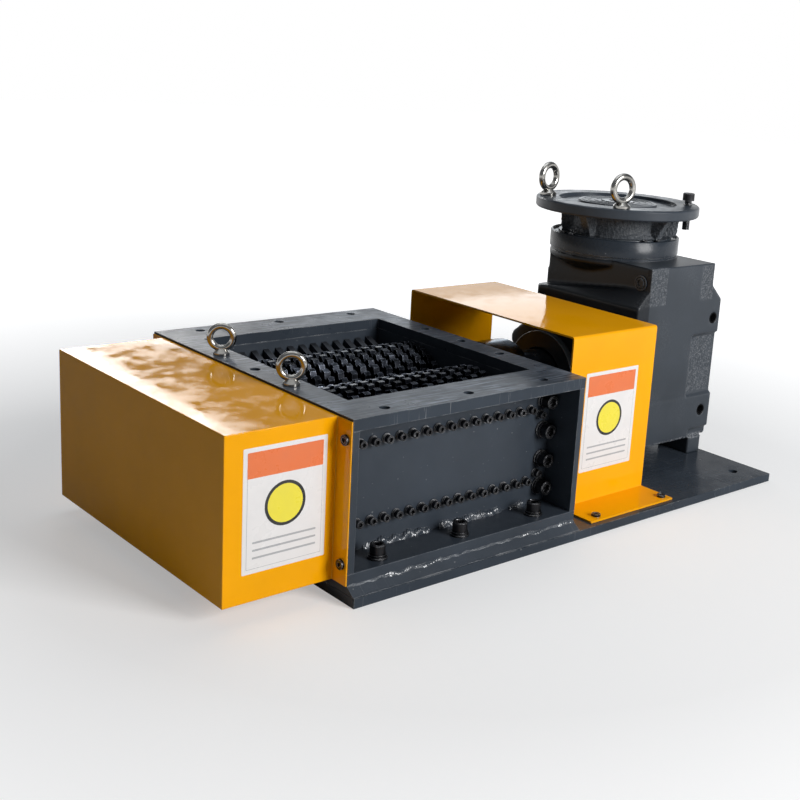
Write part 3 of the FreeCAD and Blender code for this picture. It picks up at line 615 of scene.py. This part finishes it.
def melted(mesh, name, cell, passes, material, added=(), cutters=()):
    """One casting: the solids with the added shapes and less the cutters are melted on a grid
    of small cells, and its corners worn round by averaging each point with its neighbours."""
    blank = put(name + "_blank", mesh)
    tools = []
    for number, shape in enumerate([*cutters, *added]):
        tool = put("%s_tool_%d" % (name, number), tool_mesh([shape]))
        carve = blank.modifiers.new("carve", "BOOLEAN")
        carve.operation = "DIFFERENCE" if number < len(cutters) else "UNION"
        carve.object = tool
        carve.solver = "EXACT"
        tools.append(tool)
    melt = blank.modifiers.new("melt", "REMESH")
    melt.mode = "VOXEL"
    melt.voxel_size = cell
    wear = blank.modifiers.new("wear", "SMOOTH")
    wear.factor = 0.5
    wear.iterations = passes
    bpy.context.view_layer.update()
    graph = bpy.context.evaluated_depsgraph_get()
    done = bpy.data.meshes.new_from_object(blank.evaluated_get(graph))
    for spent in (blank, *tools):
        bpy.data.objects.remove(spent)
    done.polygons.foreach_set("use_smooth", np.ones(len(done.polygons), bool))
    return settle(done, name, material, "machine")


def block(low, high):
    """A cutter: a plain block between two corners."""
    low, high = np.array(low, float), np.array(high, float)
    corners = np.array([(0, 0), (1, 0), (1, 1), (0, 1)], float)
    rings = [np.column_stack([low[:2] + corners * (high - low)[:2], np.full(4, z)])
             for z in (low[2], high[2])]
    return skin(rings)


def tool_mesh(shapes):
    """Skins as one mesh with its faces turned outwards."""
    shape = bmesh.new()
    for points, faces in shapes:
        part = bpy.data.meshes.new("tool")
        part.from_pydata(points.tolist(), [], faces)
        shape.from_mesh(part)
        bpy.data.meshes.remove(part)
    bmesh.ops.recalc_face_normals(shape, faces=shape.faces)
    mesh = bpy.data.meshes.new("tool")
    shape.to_mesh(mesh)
    shape.free()
    return mesh


def lumps(points, span, seed):
    """A smooth bumpy number at each point: a sum of plane waves of about one span, with
    directions and phases from a seeded draw."""
    draw = np.random.default_rng(seed)
    waves = draw.normal(size=(14, 3))
    waves *= (2 * math.pi / span) * draw.uniform(0.6, 1.4, 14)[:, None] \
        / np.linalg.norm(waves, axis=1)[:, None]
    return np.sin(points @ waves.T + draw.uniform(0, 2 * math.pi, 14)).sum(axis=1) / 14 ** 0.5


def cast_iron(name, colour, always=0.0, painted_shade_left=None):
    """Painted iron: the skin is as rough as sand where the attribute sand says so. Left of
    a given place the colour is darkened nearly to black, as painted shade on the casting's left side."""
    add, shade = new_material(name)
    place = add("TexCoord").outputs["Object"]
    sand = maths(add, "MAXIMUM", add("Attribute", attribute_name="sand").outputs["Fac"], always)
    broad = noise(add, place, 10, 5)
    grit = noise(add, place, 420, 3, 0.65)
    body = blend(add, ramp(add, broad, 0.3, 0.7), tuple(c * 0.85 for c in colour),
                 tuple(c * 1.18 for c in colour))
    body = blend(add, maths(add, "MULTIPLY", sand, ramp(add, grit, 0.46, 0.70, 0, 0.75)), body,
                 (0.19, 0.20, 0.215))
    # Painted shade: the left-facing side of the casting is darkened nearly to black
    if painted_shade_left is not None:
        across = add("SeparateXYZ", {"Vector": place}).outputs["X"]
        body = blend(add, ramp(add, across, painted_shade_left + 0.001, painted_shade_left, 0, 0.8), body,
                     (0.004, 0.006, 0.009))
    worn = maths(add, "MULTIPLY", worn_corner(add, 0.002), ramp(add, noise(add, place, 60, 4),
                                                                0.4, 0.65, 0, 0.8))
    depth = ramp(add, sand, 0, 1, 0.06, 1.0)
    bump = add("Bump", {"Strength": depth, "Distance": 0.0009, "Height": grit})
    return shade(Base_Color=blend(add, worn, body, (0.26, 0.27, 0.28)),
                 Roughness=ramp(add, sand, 0, 1, 0.34, 0.42), Normal=bump.outputs["Normal"],
                 Metallic=maths(add, "MULTIPLY", worn, 0.6), Specular_IOR_Level=0.28)


box_low, box_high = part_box("gearbox_housing")
box_x = (box_low.x + box_high.x) / 2
# The gearbox's left-facing side is darkened as painted shade
iron_paint = cast_iron("painted iron", (0.040, 0.048, 0.059), painted_shade_left=box_x - 0.0725)
front_y = box_low.y
stage_low, stage_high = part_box("input_stage")
input_x, input_y = (stage_low.x + stage_high.x) / 2, (stage_low.y + stage_high.y) / 2
# Under the input stage the neck flares out to a round collar, and a lug stands low behind
collar = standing(turned([(0.070, 0.2875, 0), (0.0980, 0.3030, 0), (0.0980, 0.3105, 0)], 96), "up",
                  [(input_x, input_y, 0)])
LUG = ((0.090, 0.200), (0.118, 0.196), (0.131, 0.184), (0.147, 0.171), (0.151, 0.163), (0.150, 0.154),
       (0.143, 0.147), (0.125, 0.142), (0.090, 0.138))
LUG_WIDE = 0.045
lug = skin([[(x, y, z) for y, z in LUG] for x in (box_low.x, box_low.x + LUG_WIDE)])
# Sand-rough panels on the front, as left and right edge from the middle and bottom and top
ROUGH_PANELS = ((-0.110, -0.037, 0.2575, 0.320), (0.044, 0.072, 0.2580, 0.3080),
                (0.035, 0.092, 0.113, 0.199))
PANEL_DEEP, LOW_PANEL_DEEP = 0.0009, 0.0057
SLOT_DEEP, SLOT_ALONG, SLOT_UP = 0.0055, (-0.0780, -0.0200), (0.2330, 0.2365)
neck_face = box_x - 0.073
cutters = [block((box_x + left, front_y - 0.01, low), (box_x + right, front_y + PANEL_DEEP, high))
           for left, right, low, high in ROUGH_PANELS[:2]]
left, right, low, high = ROUGH_PANELS[2]
cutters.append(block((box_x + left, front_y, low), (box_x + right, front_y + LOW_PANEL_DEEP, high)))
cutters.append(block((box_low.x - 0.01, SLOT_ALONG[0], SLOT_UP[0]),
                     (box_low.x + SLOT_DEEP, SLOT_ALONG[1], SLOT_UP[1])))
# Behind the neck the shoulders lie lower: a ring's section round the input axis is taken off
RING_IN, RING_OUT, RING_UNDER, RING_OVER = 0.0985, 0.1700, 0.247, 0.287
turn = np.radians(np.linspace(40, 140, 26))[:, None]
across = np.array([RING_IN, RING_OUT, RING_OUT, RING_IN])[None]
upward = np.broadcast_to(np.array([RING_UNDER, RING_UNDER, RING_OVER, RING_OVER]), (26, 4))
cutters.append(skin(np.stack([input_x + across * np.cos(turn), input_y + across * np.sin(turn),
                              upward], axis=-1)))
# and the shoulders fall away backwards, as the places and heights of what is cut off
FALL = ((-0.0800, 0.2772), (0.1500, 0.2471), (0.1500, 0.3000), (-0.0800, 0.3000))
for left, right in ((box_low.x - 0.01, box_x - 0.0731), (box_x + 0.0731, box_high.x + 0.01)):
    cutters.append(skin([[(x, y, z) for y, z in FALL] for x in (left, right)]))
# Tapped holes on the pads, as the place from the middle and the height
PAD_HOLES = ((0.081, 0.226), (-0.081, 0.226), (0.075, 0.0805), (-0.075, 0.0805))
for across, height in PAD_HOLES:
    bore = turned([(0.0078, -0.02, 0), (0.0078, 0.016, 0)], 32)
    cutters.append(standing(bore, "back", [(box_x + across, front_y, height)]))
# The front is level from pad to pad, left of the rough panel: right edge, bottom and top
LEVELS, LEVEL_DEEP = ((0.035, 0.110, 0.202), (0.050, 0.0385, 0.056)), 0.0070
levels = [block((box_low.x + 0.0005, front_y + 0.00005, low),
                (box_x + across, front_y + LEVEL_DEEP, high)) for across, low, high in LEVELS]
casting = melted(node_mesh("gearbox_housing"), "gearbox_casting", GEARBOX_CELL, 2, iron_paint,
                 [collar, lug, *levels], cutters)
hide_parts("gearbox_housing")


def zone(spots, low, high, soft):
    """How far inside a block each point lies: 1 inside it, falling to 0 over a soft edge."""
    inside = np.minimum(spots - np.array(low), np.array(high) - spots).min(axis=1)
    return np.clip(inside / soft + 1, 0, 1)


def sanded(thing, share_of, depth, span):
    """Roughens a casting: points move along their normals by a lumpy number, as far as the
    share of sand at each of them, which is kept as an attribute for the paint."""
    mesh = thing.data
    spots = np.empty(len(mesh.vertices) * 3)
    mesh.vertices.foreach_get("co", spots)
    spots = spots.reshape(-1, 3)
    normals = np.empty(len(mesh.vertices) * 3)
    mesh.vertices.foreach_get("normal", normals)
    share = share_of(spots)
    rise = depth * (0.6 * lumps(spots, span, 3) + 0.4 * lumps(spots, 2.3 * span, 5))
    spots = spots + normals.reshape(-1, 3) * (share * np.minimum(rise, depth))[:, None]
    mesh.vertices.foreach_set("co", spots.ravel())
    mesh.attributes.new("sand", "FLOAT", "POINT").data.foreach_set("value", share.astype(np.float32))
    mesh.update()


def gearbox_sand(spots):
    """Rough in the panels and under the lower edge, and faintly so in clouds elsewhere."""
    share = np.clip(0.12 * lumps(spots, 0.06, 11), 0, 0.3)
    for left, right, low, high in ROUGH_PANELS:
        share = np.maximum(share, zone(spots, (box_x + left, front_y - 0.001, low),
                                       (box_x + right, front_y + 0.009, high), 0.0015))
    under = zone(spots, (box_low.x - 0.01, box_low.y - 0.01, 0.036),
                 (box_high.x + 0.01, 0.2, 0.0415), 0.001)
    return np.maximum(share, 2.5 * under)


sanded(casting, gearbox_sand, 0.0004, 0.006)

# Threads in the pads' holes, coloured near black as painted shade inside the holes, a plug in the neck,
# and the output shaft's ring
machined = metal("machined iron", (0.16, 0.165, 0.175), 0.3, worn=(0.45, 0.46, 0.48))
# Painted shade: the threads are near black so that the holes read dark
hole_shade_thread = metal("thread in hole shade", (0.010, 0.010, 0.011), 0.5)
thread_z = -0.0008 - 0.00075 * np.arange(18)
thread_r = 0.0066 + 0.0006 * (np.arange(18) % 2)
bush = turned([(0.0085, -0.0150, 0), (0.0085, -0.0003, 0), (0.0074, -0.0003, 0),
               *zip(thread_r, thread_z, np.zeros(18))], 32)
bushes = [standing(bush, "front", [(box_x + across, front_y, height) for across, height in PAD_HOLES])]
piece("pad_threads", bushes, hole_shade_thread)
plug_place = [(neck_face, -0.0869, 0.288)]
plugs = [standing(cap_screw(0.0078, 0.0030, 0.008), "left", plug_place),
         standing(washer(0.0090, 0.0112, 0.0020), "left", plug_place)]
piece("neck_plug", plugs, slate_paint)
ring_paint = sprayed("ring paint", (0.014, 0.017, 0.020), roughness=0.4)
rolled("gearbox_output_ring", "output_ring_turned", 0.0015, ring_paint)

# Input stage: a turned foot with a screw groove, a rough cast lantern with radial ribs round
# the hub, and the motor flange with its deep spigot, all on one upright axis.
stage_r = (stage_high.x - stage_low.x) / 2
stage_z, ledge_z = stage_low.z, stage_high.z
GROOVE_DEEP = 0.0035
foot_ring = turned([(stage_r - 0.002, stage_z, 0), (stage_r - 0.002, stage_z + 0.0035, 0),
                    (stage_r, stage_z + 0.0045, 0), (stage_r, ledge_z - 0.0012, 0),
                    (stage_r - 0.0012, ledge_z, 0), (stage_r - 0.0030, ledge_z, 0),
                    (stage_r - 0.0038, ledge_z - GROOVE_DEEP, 0),
                    (stage_r - 0.0118, ledge_z - GROOVE_DEEP, 0), (stage_r - 0.0124, ledge_z, 0)], 128)
stage_paint = sprayed("stage paint", (0.024, 0.031, 0.041), roughness=0.26, shine=0.25, warp=0.0002)
foot = piece("stage_foot", [standing(foot_ring, "up", [(input_x, input_y, 0)])], stage_paint,
             degrees=50)
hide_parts("input_stage")
turn = np.radians(np.concatenate([np.arange(4) * 90 - 93.5, np.arange(4) * 90 - 108.5]))
places = np.stack([input_x + (stage_r - 0.0078) * np.cos(turn),
                   input_y + (stage_r - 0.0078) * np.sin(turn),
                   np.full(8, ledge_z - GROOVE_DEEP)], axis=1)
piece("stage_screws", [standing(cap_screw(0.0038, 0.0055, 0.004), "up", places)], black_oxide)

RIB_TURNS = (-170, -80, 10, 100)
FAR_RIBS = ((-47, 0.0965), (133, 0.0850))
head_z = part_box("motor_flange")[0].z


def rib(turn, head_r, foot_r, thick):
    """A radial rib of the lantern: an upright plate whose outer edge leans out to the flange."""
    out = np.array([math.cos(math.radians(turn)), math.sin(math.radians(turn)), 0])
    aside = np.array([-out[1], out[0], 0]) * thick / 2
    edge = [(0.052, ledge_z - 0.001), (foot_r, ledge_z - 0.001), (foot_r + 0.002, ledge_z + 0.005),
            (head_r, head_z - 0.004), (head_r, head_z + 0.001), (0.052, head_z + 0.001)]
    base = np.array([input_x, input_y, 0])
    return skin([[base + out * r + np.array([0, 0, z]) + hand * aside for r, z in edge]
                 for hand in (-1, 1)])


barrel = [(0.040, ledge_z - 0.001, 0), (0.074, ledge_z - 0.001, 0), (0.070, ledge_z + 0.003, 0),
          (0.0665, ledge_z + 0.009, 0), (0.0665, head_z - 0.010, 0), (0.072, head_z - 0.002, 0),
          (0.078, head_z + 0.001, 0), (0.040, head_z + 0.001, 0)]
core = tool_mesh([standing(turned(barrel, 96, loop=True), "up", [(input_x, input_y, 0)])])
ribs = [rib(turn, 0.095, 0.078, 0.013) for turn in RIB_TURNS]
ribs += [rib(turn, reach, reach - 0.004, 0.009) for turn, reach in FAR_RIBS]
rough_iron = cast_iron("rough painted iron", (0.062, 0.070, 0.080), always=1.0)
lantern = melted(core, "lantern_casting", 0.0015, 1, rough_iron, ribs)
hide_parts("input_lantern")
sanded(lantern, lambda spots: np.ones(len(spots)), 0.0007, 0.0045)
rolled("motor_flange", "motor_flange_turned", 0.0012, slate_paint)
seal_paint = sprayed("seal paint", (0.060, 0.068, 0.080), roughness=0.33, grain=0.00003)
nodes["input_seal"].data.materials[0] = seal_paint
nodes["input_hub"].data.materials[0] = machined
seal_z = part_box("input_seal")[1].z
SEAL_RINGS, SEAL_RING_WIDE, SEAL_RING_TALL = (0.034, 0.044, 0.053), 0.0022, 0.0007
seal_rings = [standing(washer(radius, radius + SEAL_RING_WIDE, SEAL_RING_TALL, seal_z), "up",
                       [(input_x, input_y, 0)]) for radius in SEAL_RINGS]
piece("seal_rings", seal_rings, seal_paint)

# Lifting eyes: forged and polished, a small pair on the chamber and a larger pair in two of
# the motor flange's holes. A third hole keeps a motor screw turned half way in.
polished = metal("polished steel", (0.36, 0.35, 0.33), 0.14, grain=0.00001)


def eye(outer, wire, tall, foot, turn):
    """A lifting eye: a circle carried round a larger upright circle, on a turned foot whose
    neck hollows up into the ring. The ring faces the given turn about Z."""
    around = np.linspace(0, 2 * math.pi, 64, endpoint=False)[:, None]
    section = np.linspace(0, 2 * math.pi, 24, endpoint=False)[None]
    reach = outer - wire + wire * np.cos(section)
    face = np.array([math.cos(math.radians(turn)), math.sin(math.radians(turn)), 0])
    along = np.array([-face[1], face[0], 0])
    ring = ((reach * np.sin(around))[..., None] * along
            + (wire * 0.94 * np.sin(section))[..., None] * face
            + (tall - outer + reach * np.cos(around))[..., None] * np.array([0, 0, 1]))
    lowest = tall - 2 * outer
    stem = turned([(0.0045, -0.012, 0), (0.0045, -0.0004, 0), (foot - 0.0006, 0, 0),
                   (foot, 0.0006, 0), (foot, lowest * 0.75, 0), (foot - 0.0012, lowest * 0.75 + 0.0014, 0),
                   (0.78 * foot, lowest + 0.0012, 0), (0.62 * foot, lowest + 0.0030, 0),
                   (0.50 * foot, lowest + 0.0042, 0)], 40)
    return [skin(ring, loop=True), stem]


# Each eye's outer radius, wire, height, foot and turn
EYES = {"chamber_eyebolt_front": (0.0180, 0.0040, 0.0400, 0.0100, -122),
        "chamber_eyebolt_back": (0.0180, 0.0040, 0.0400, 0.0100, -126),
        "flange_eyebolt_front": (0.0228, 0.0051, 0.0505, 0.0127, -98),
        "flange_eyebolt_back": (0.0228, 0.0051, 0.0505, 0.0127, -83)}
for node, (outer, wire, tall, foot, turn) in EYES.items():
    low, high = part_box(node)
    seat_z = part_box("top_frame" if "chamber" in node else "motor_flange")[1].z
    shapes = [standing(part, "up", [((low.x + high.x) / 2, (low.y + high.y) / 2, seat_z)])
              for part in eye(outer, wire, tall, foot, turn)]
    made = piece(node + "_forged", shapes, polished)
    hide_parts(node)


def threaded(radius, pitch, low, high, steps=24):
    """A screw's shank: a cylinder whose radius rises and falls once each pitch, later round
    the circle by the height it has climbed."""
    angle = np.linspace(0, 2 * math.pi, steps, endpoint=False)[None]
    height = np.linspace(low, high, int((high - low) / pitch * 6))[:, None]
    wave = np.abs(((height / pitch - angle / (2 * math.pi)) % 1) * 2 - 1)
    fade = np.minimum(1, np.minimum(height - low, high - height) / pitch)
    out = radius * (1 - 0.11 * wave * fade)
    return skin(np.stack([out * np.cos(angle), out * np.sin(angle),
                          np.broadcast_to(height, out.shape)], axis=-1))


screw_low, screw_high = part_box("flange_screw")
screw_x, screw_y = (screw_low.x + screw_high.x) / 2, (screw_low.y + screw_high.y) / 2
SCREW_DROP = 0.0115
screw_parts = [cap_screw(0.009, 0.0115, 0.010, screw_high.z - 0.0130),
               threaded(0.0058, 0.00175, screw_low.z - SCREW_DROP, screw_high.z - 0.0129)]
screw = piece("flange_screw_threaded", [standing(part, "up", [(screw_x, screw_y, 0)])
                                        for part in screw_parts], black_oxide)
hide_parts("flange_screw")

# Labels: two blank stickers with a coloured head band, a plain disc and ruled lines, on the
# front of the gear cover and of the guard. They carry no words or signs.


def rounded_plate(width, height, corner, thick, rise, across=0.0, up=0.0):
    """A thin plate whose outline is a quarter circle at each corner, its rim a little soft."""
    turn = (np.arange(40) + 0.5) * 2 * math.pi / 40
    out_x, out_y = np.cos(turn), np.sin(turn)
    rings = []
    for shrink, z in ((0, rise), (0, rise + 0.7 * thick), (0.3 * thick, rise + thick)):
        rings.append(np.column_stack([
            across + (width / 2 - corner) * np.sign(out_x) + (corner - shrink) * out_x,
            up + (height / 2 - corner) * np.sign(out_y) + (corner - shrink) * out_y,
            np.full(40, z)]))
    return skin(rings)


def printed(name, colour):
    """Glossy film: an even colour under a little dust."""
    add, shade = new_material(name)
    place = add("TexCoord").outputs["Object"]
    dust = ramp(add, noise(add, place, 40, 4), 0.4, 0.75, 0, 0.25)
    return shade(Base_Color=blend(add, dust, colour, tuple(c * 0.7 + 0.05 for c in colour)),
                 Roughness=ramp(add, dust, 0, 0.25, 0.25, 0.5))


film_white = printed("white film", (0.80, 0.78, 0.77))
film_orange = printed("orange film", (0.80, 0.19, 0.06))
film_yellow = printed("yellow film", (0.86, 0.74, 0.06))
film_dark = printed("dark film", (0.03, 0.03, 0.03))
film_grey = printed("grey film", (0.42, 0.42, 0.43))
LABEL_W, LABEL_H, BAND_H = 0.102, 0.138, 0.028
INSET_W, INSET_H = LABEL_W - 0.010, LABEL_H - 0.010
for label_name, label_x, label_y, label_z in (
        ("cover_label", -0.3948, -0.1955, 0.122), ("guard_label", 0.134, -guard_inner, 0.1265)):
    layers = {
        "film": (film_white, [rounded_plate(LABEL_W, LABEL_H, 0.0015, 0.0002, 0)]),
        "frame": (film_grey, [rounded_plate(INSET_W, INSET_H, 0.001, 0.00005, 0.0002)]),
        "field": (film_white, [rounded_plate(INSET_W - 0.001, INSET_H - 0.001, 0.001, 0.00005, 0.00025)]),
        "band": (film_orange, [rounded_plate(INSET_W, BAND_H, 0.001, 0.0001, 0.0003, 0,
                                             INSET_H / 2 - BAND_H / 2)]),
        "ring": (film_dark, [rounded_plate(0.050, 0.050, 0.02499, 0.0001, 0.0003, 0, 0.002)]),
        "disc": (film_yellow, [rounded_plate(0.043, 0.043, 0.02149, 0.0001, 0.0004, 0, 0.002)]),
        "rules": (film_grey, [rounded_plate(INSET_W - 0.014, 0.0022, 0.001, 0.0001, 0.0003, 0,
                                            -0.035 - 0.0085 * row) for row in range(3)])}
    for part, (film, shapes) in layers.items():
        piece("%s_%s" % (label_name, part),
              [standing(shape, "front", [(label_x, label_y, label_z)]) for shape in shapes],
              film)

# Studio: a pale floor that melts into a white surround, a broad soft lamp to the right of
# the camera, a weaker one above, and a dim surround, so that the left ends stay in shade.
# In gloss the surround is a white strip over the horizon under a grey ceiling.
FLOOR_HALF, FADE_FROM, FADE_TO, GLOSS_FROM, GLOSS_TO = 8.0, 0.6, 1.7, 1.4, 3.0
SURROUND = 0.09

floor_mesh = bpy.data.meshes.new("floor")
floor_mesh.from_pydata([(-FLOOR_HALF, -FLOOR_HALF, -0.0003), (FLOOR_HALF, -FLOOR_HALF, -0.0003),
                        (FLOOR_HALF, FLOOR_HALF, -0.0003), (-FLOOR_HALF, FLOOR_HALF, -0.0003)],
                       [], [(0, 1, 2, 3)])
floor = put("floor", floor_mesh)
floor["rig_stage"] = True
add, shade = new_material("floor")
distance = add("VectorMath", {0: add("TexCoord").outputs["Object"]}, operation="LENGTH")
path = add("LightPath")
seen = maths(add, "MULTIPLY", ramp(add, distance.outputs["Value"], FADE_FROM, FADE_TO, 0.38, 1),
             maths(add, "MAXIMUM", path.outputs["Is Camera Ray"], path.outputs["Is Transmission Ray"]))
mirrored = maths(add, "MULTIPLY", ramp(add, distance.outputs["Value"], GLOSS_FROM, GLOSS_TO),
                 path.outputs["Is Glossy Ray"])
floor_material = shade(Base_Color=(0.60, 0.60, 0.60), Roughness=0.9,
                       Emission_Color=(1.0, 1.0, 1.0),
                       Emission_Strength=maths(add, "MAXIMUM", seen, mirrored))
floor_mesh.materials.append(floor_material)

world = bpy.data.worlds.new("surround")
bpy.context.scene.world = world
world.use_nodes = True
add, wire = node_maker(world.node_tree)
aim = add("SeparateXYZ", {"Vector": add("TexCoord").outputs["Object"]})
rise = maths(add, "SUBTRACT", aim.outputs["Z"], maths(add, "MULTIPLY", aim.outputs["X"], 0.12))
bright = maths(add, "MAXIMUM", ramp(add, rise, 0.170, 0.195, 1.0, 0.22),
               ramp(add, aim.outputs["Z"], 0.60, 0.90, 0.0, 0.8))
path = add("LightPath")
seen = maths(add, "MAXIMUM", path.outputs["Is Camera Ray"], path.outputs["Is Transmission Ray"])
seen = maths(add, "MAXIMUM", seen, maths(add, "MULTIPLY", bright, path.outputs["Is Glossy Ray"]))
background = world.node_tree.nodes["Background"]
wire(blend(add, seen, (0.86, 0.92, 1.0), (1.0, 1.0, 1.0)), background.inputs["Color"])
wire(maths(add, "MAXIMUM", seen, SURROUND), background.inputs["Strength"])


def lamp(name, place, target, size, power, colour=(1.0, 1.0, 1.0), roll=0.0):
    """A soft lamp of a width and a height that points at a target, turned about its own axis."""
    light = bpy.data.lights.new(name, "AREA")
    light.shape = "RECTANGLE"
    light.size, light.size_y = size
    light.energy = power
    light.color = colour
    made = put(name, light)
    made.location = place
    made.visible_camera = False
    aim = Vector(target) - Vector(place)
    turned_to = aim.to_track_quat("-Z", "Y").to_matrix() @ Matrix.Rotation(math.radians(roll), 3, "Z")
    made.rotation_euler = turned_to.to_euler()


lamp("key lamp", (0.8, -3.0, 1.4), (0.0, 0.0, 0.12), (1.3, 1.3), 104)
lamp("top lamp", (0.3, 0.6, 2.6), (0.0, 0.0, 0.15), (1.8, 1.8), 13, (0.9, 0.95, 1.0))
# Bright panels low behind the machine, which its level faces mirror
lamp("sheen lamp", (2.15, 2.35, 0.95), (0.0, 0.0, 0.2), (1.5, 0.5), 3.6, (0.85, 0.93, 1.0))
lamp("sheen lamp left", (0.885, 2.731, 1.222), (-0.40, 0.0, 0.209), (1.0, 0.30), 7.2, roll=-31)
lamp("sheen lamp low", (0.942, 2.81, 0.890), (-0.40, 0.0, 0.209), (0.5, 0.10), 1.0)

# Camera: the photograph's own place and lens, found from the machine's straight edges. The
# photograph is cut from a wider frame, which the shift repeats.
EYE = (-1.0596, -1.2113, 0.5950)
FORWARD, DOWN = (0.6712, 0.7002, -0.2433), (-0.1153, -0.2256, -0.9674)
back = -Vector(FORWARD).normalized()
up = -Vector(DOWN).normalized()
right = up.cross(back).normalized()
camera_data = bpy.data.cameras.new("camera")
camera_data.sensor_width = 36.0
camera_data.lens = 36.0 * 1215.4 / 800
camera_data.shift_x = (400 - 509.3) / 800
camera_data.shift_y = (359.3 - 400) / 800
camera = put("camera", camera_data)
camera.rotation_mode = "QUATERNION"
camera.rotation_quaternion = Matrix((right, back.cross(right), back)).transposed().to_quaternion()
camera.location = EYE
bpy.context.scene.camera = camera
bpy.context.scene.view_settings.view_transform = "Standard"

low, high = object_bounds()
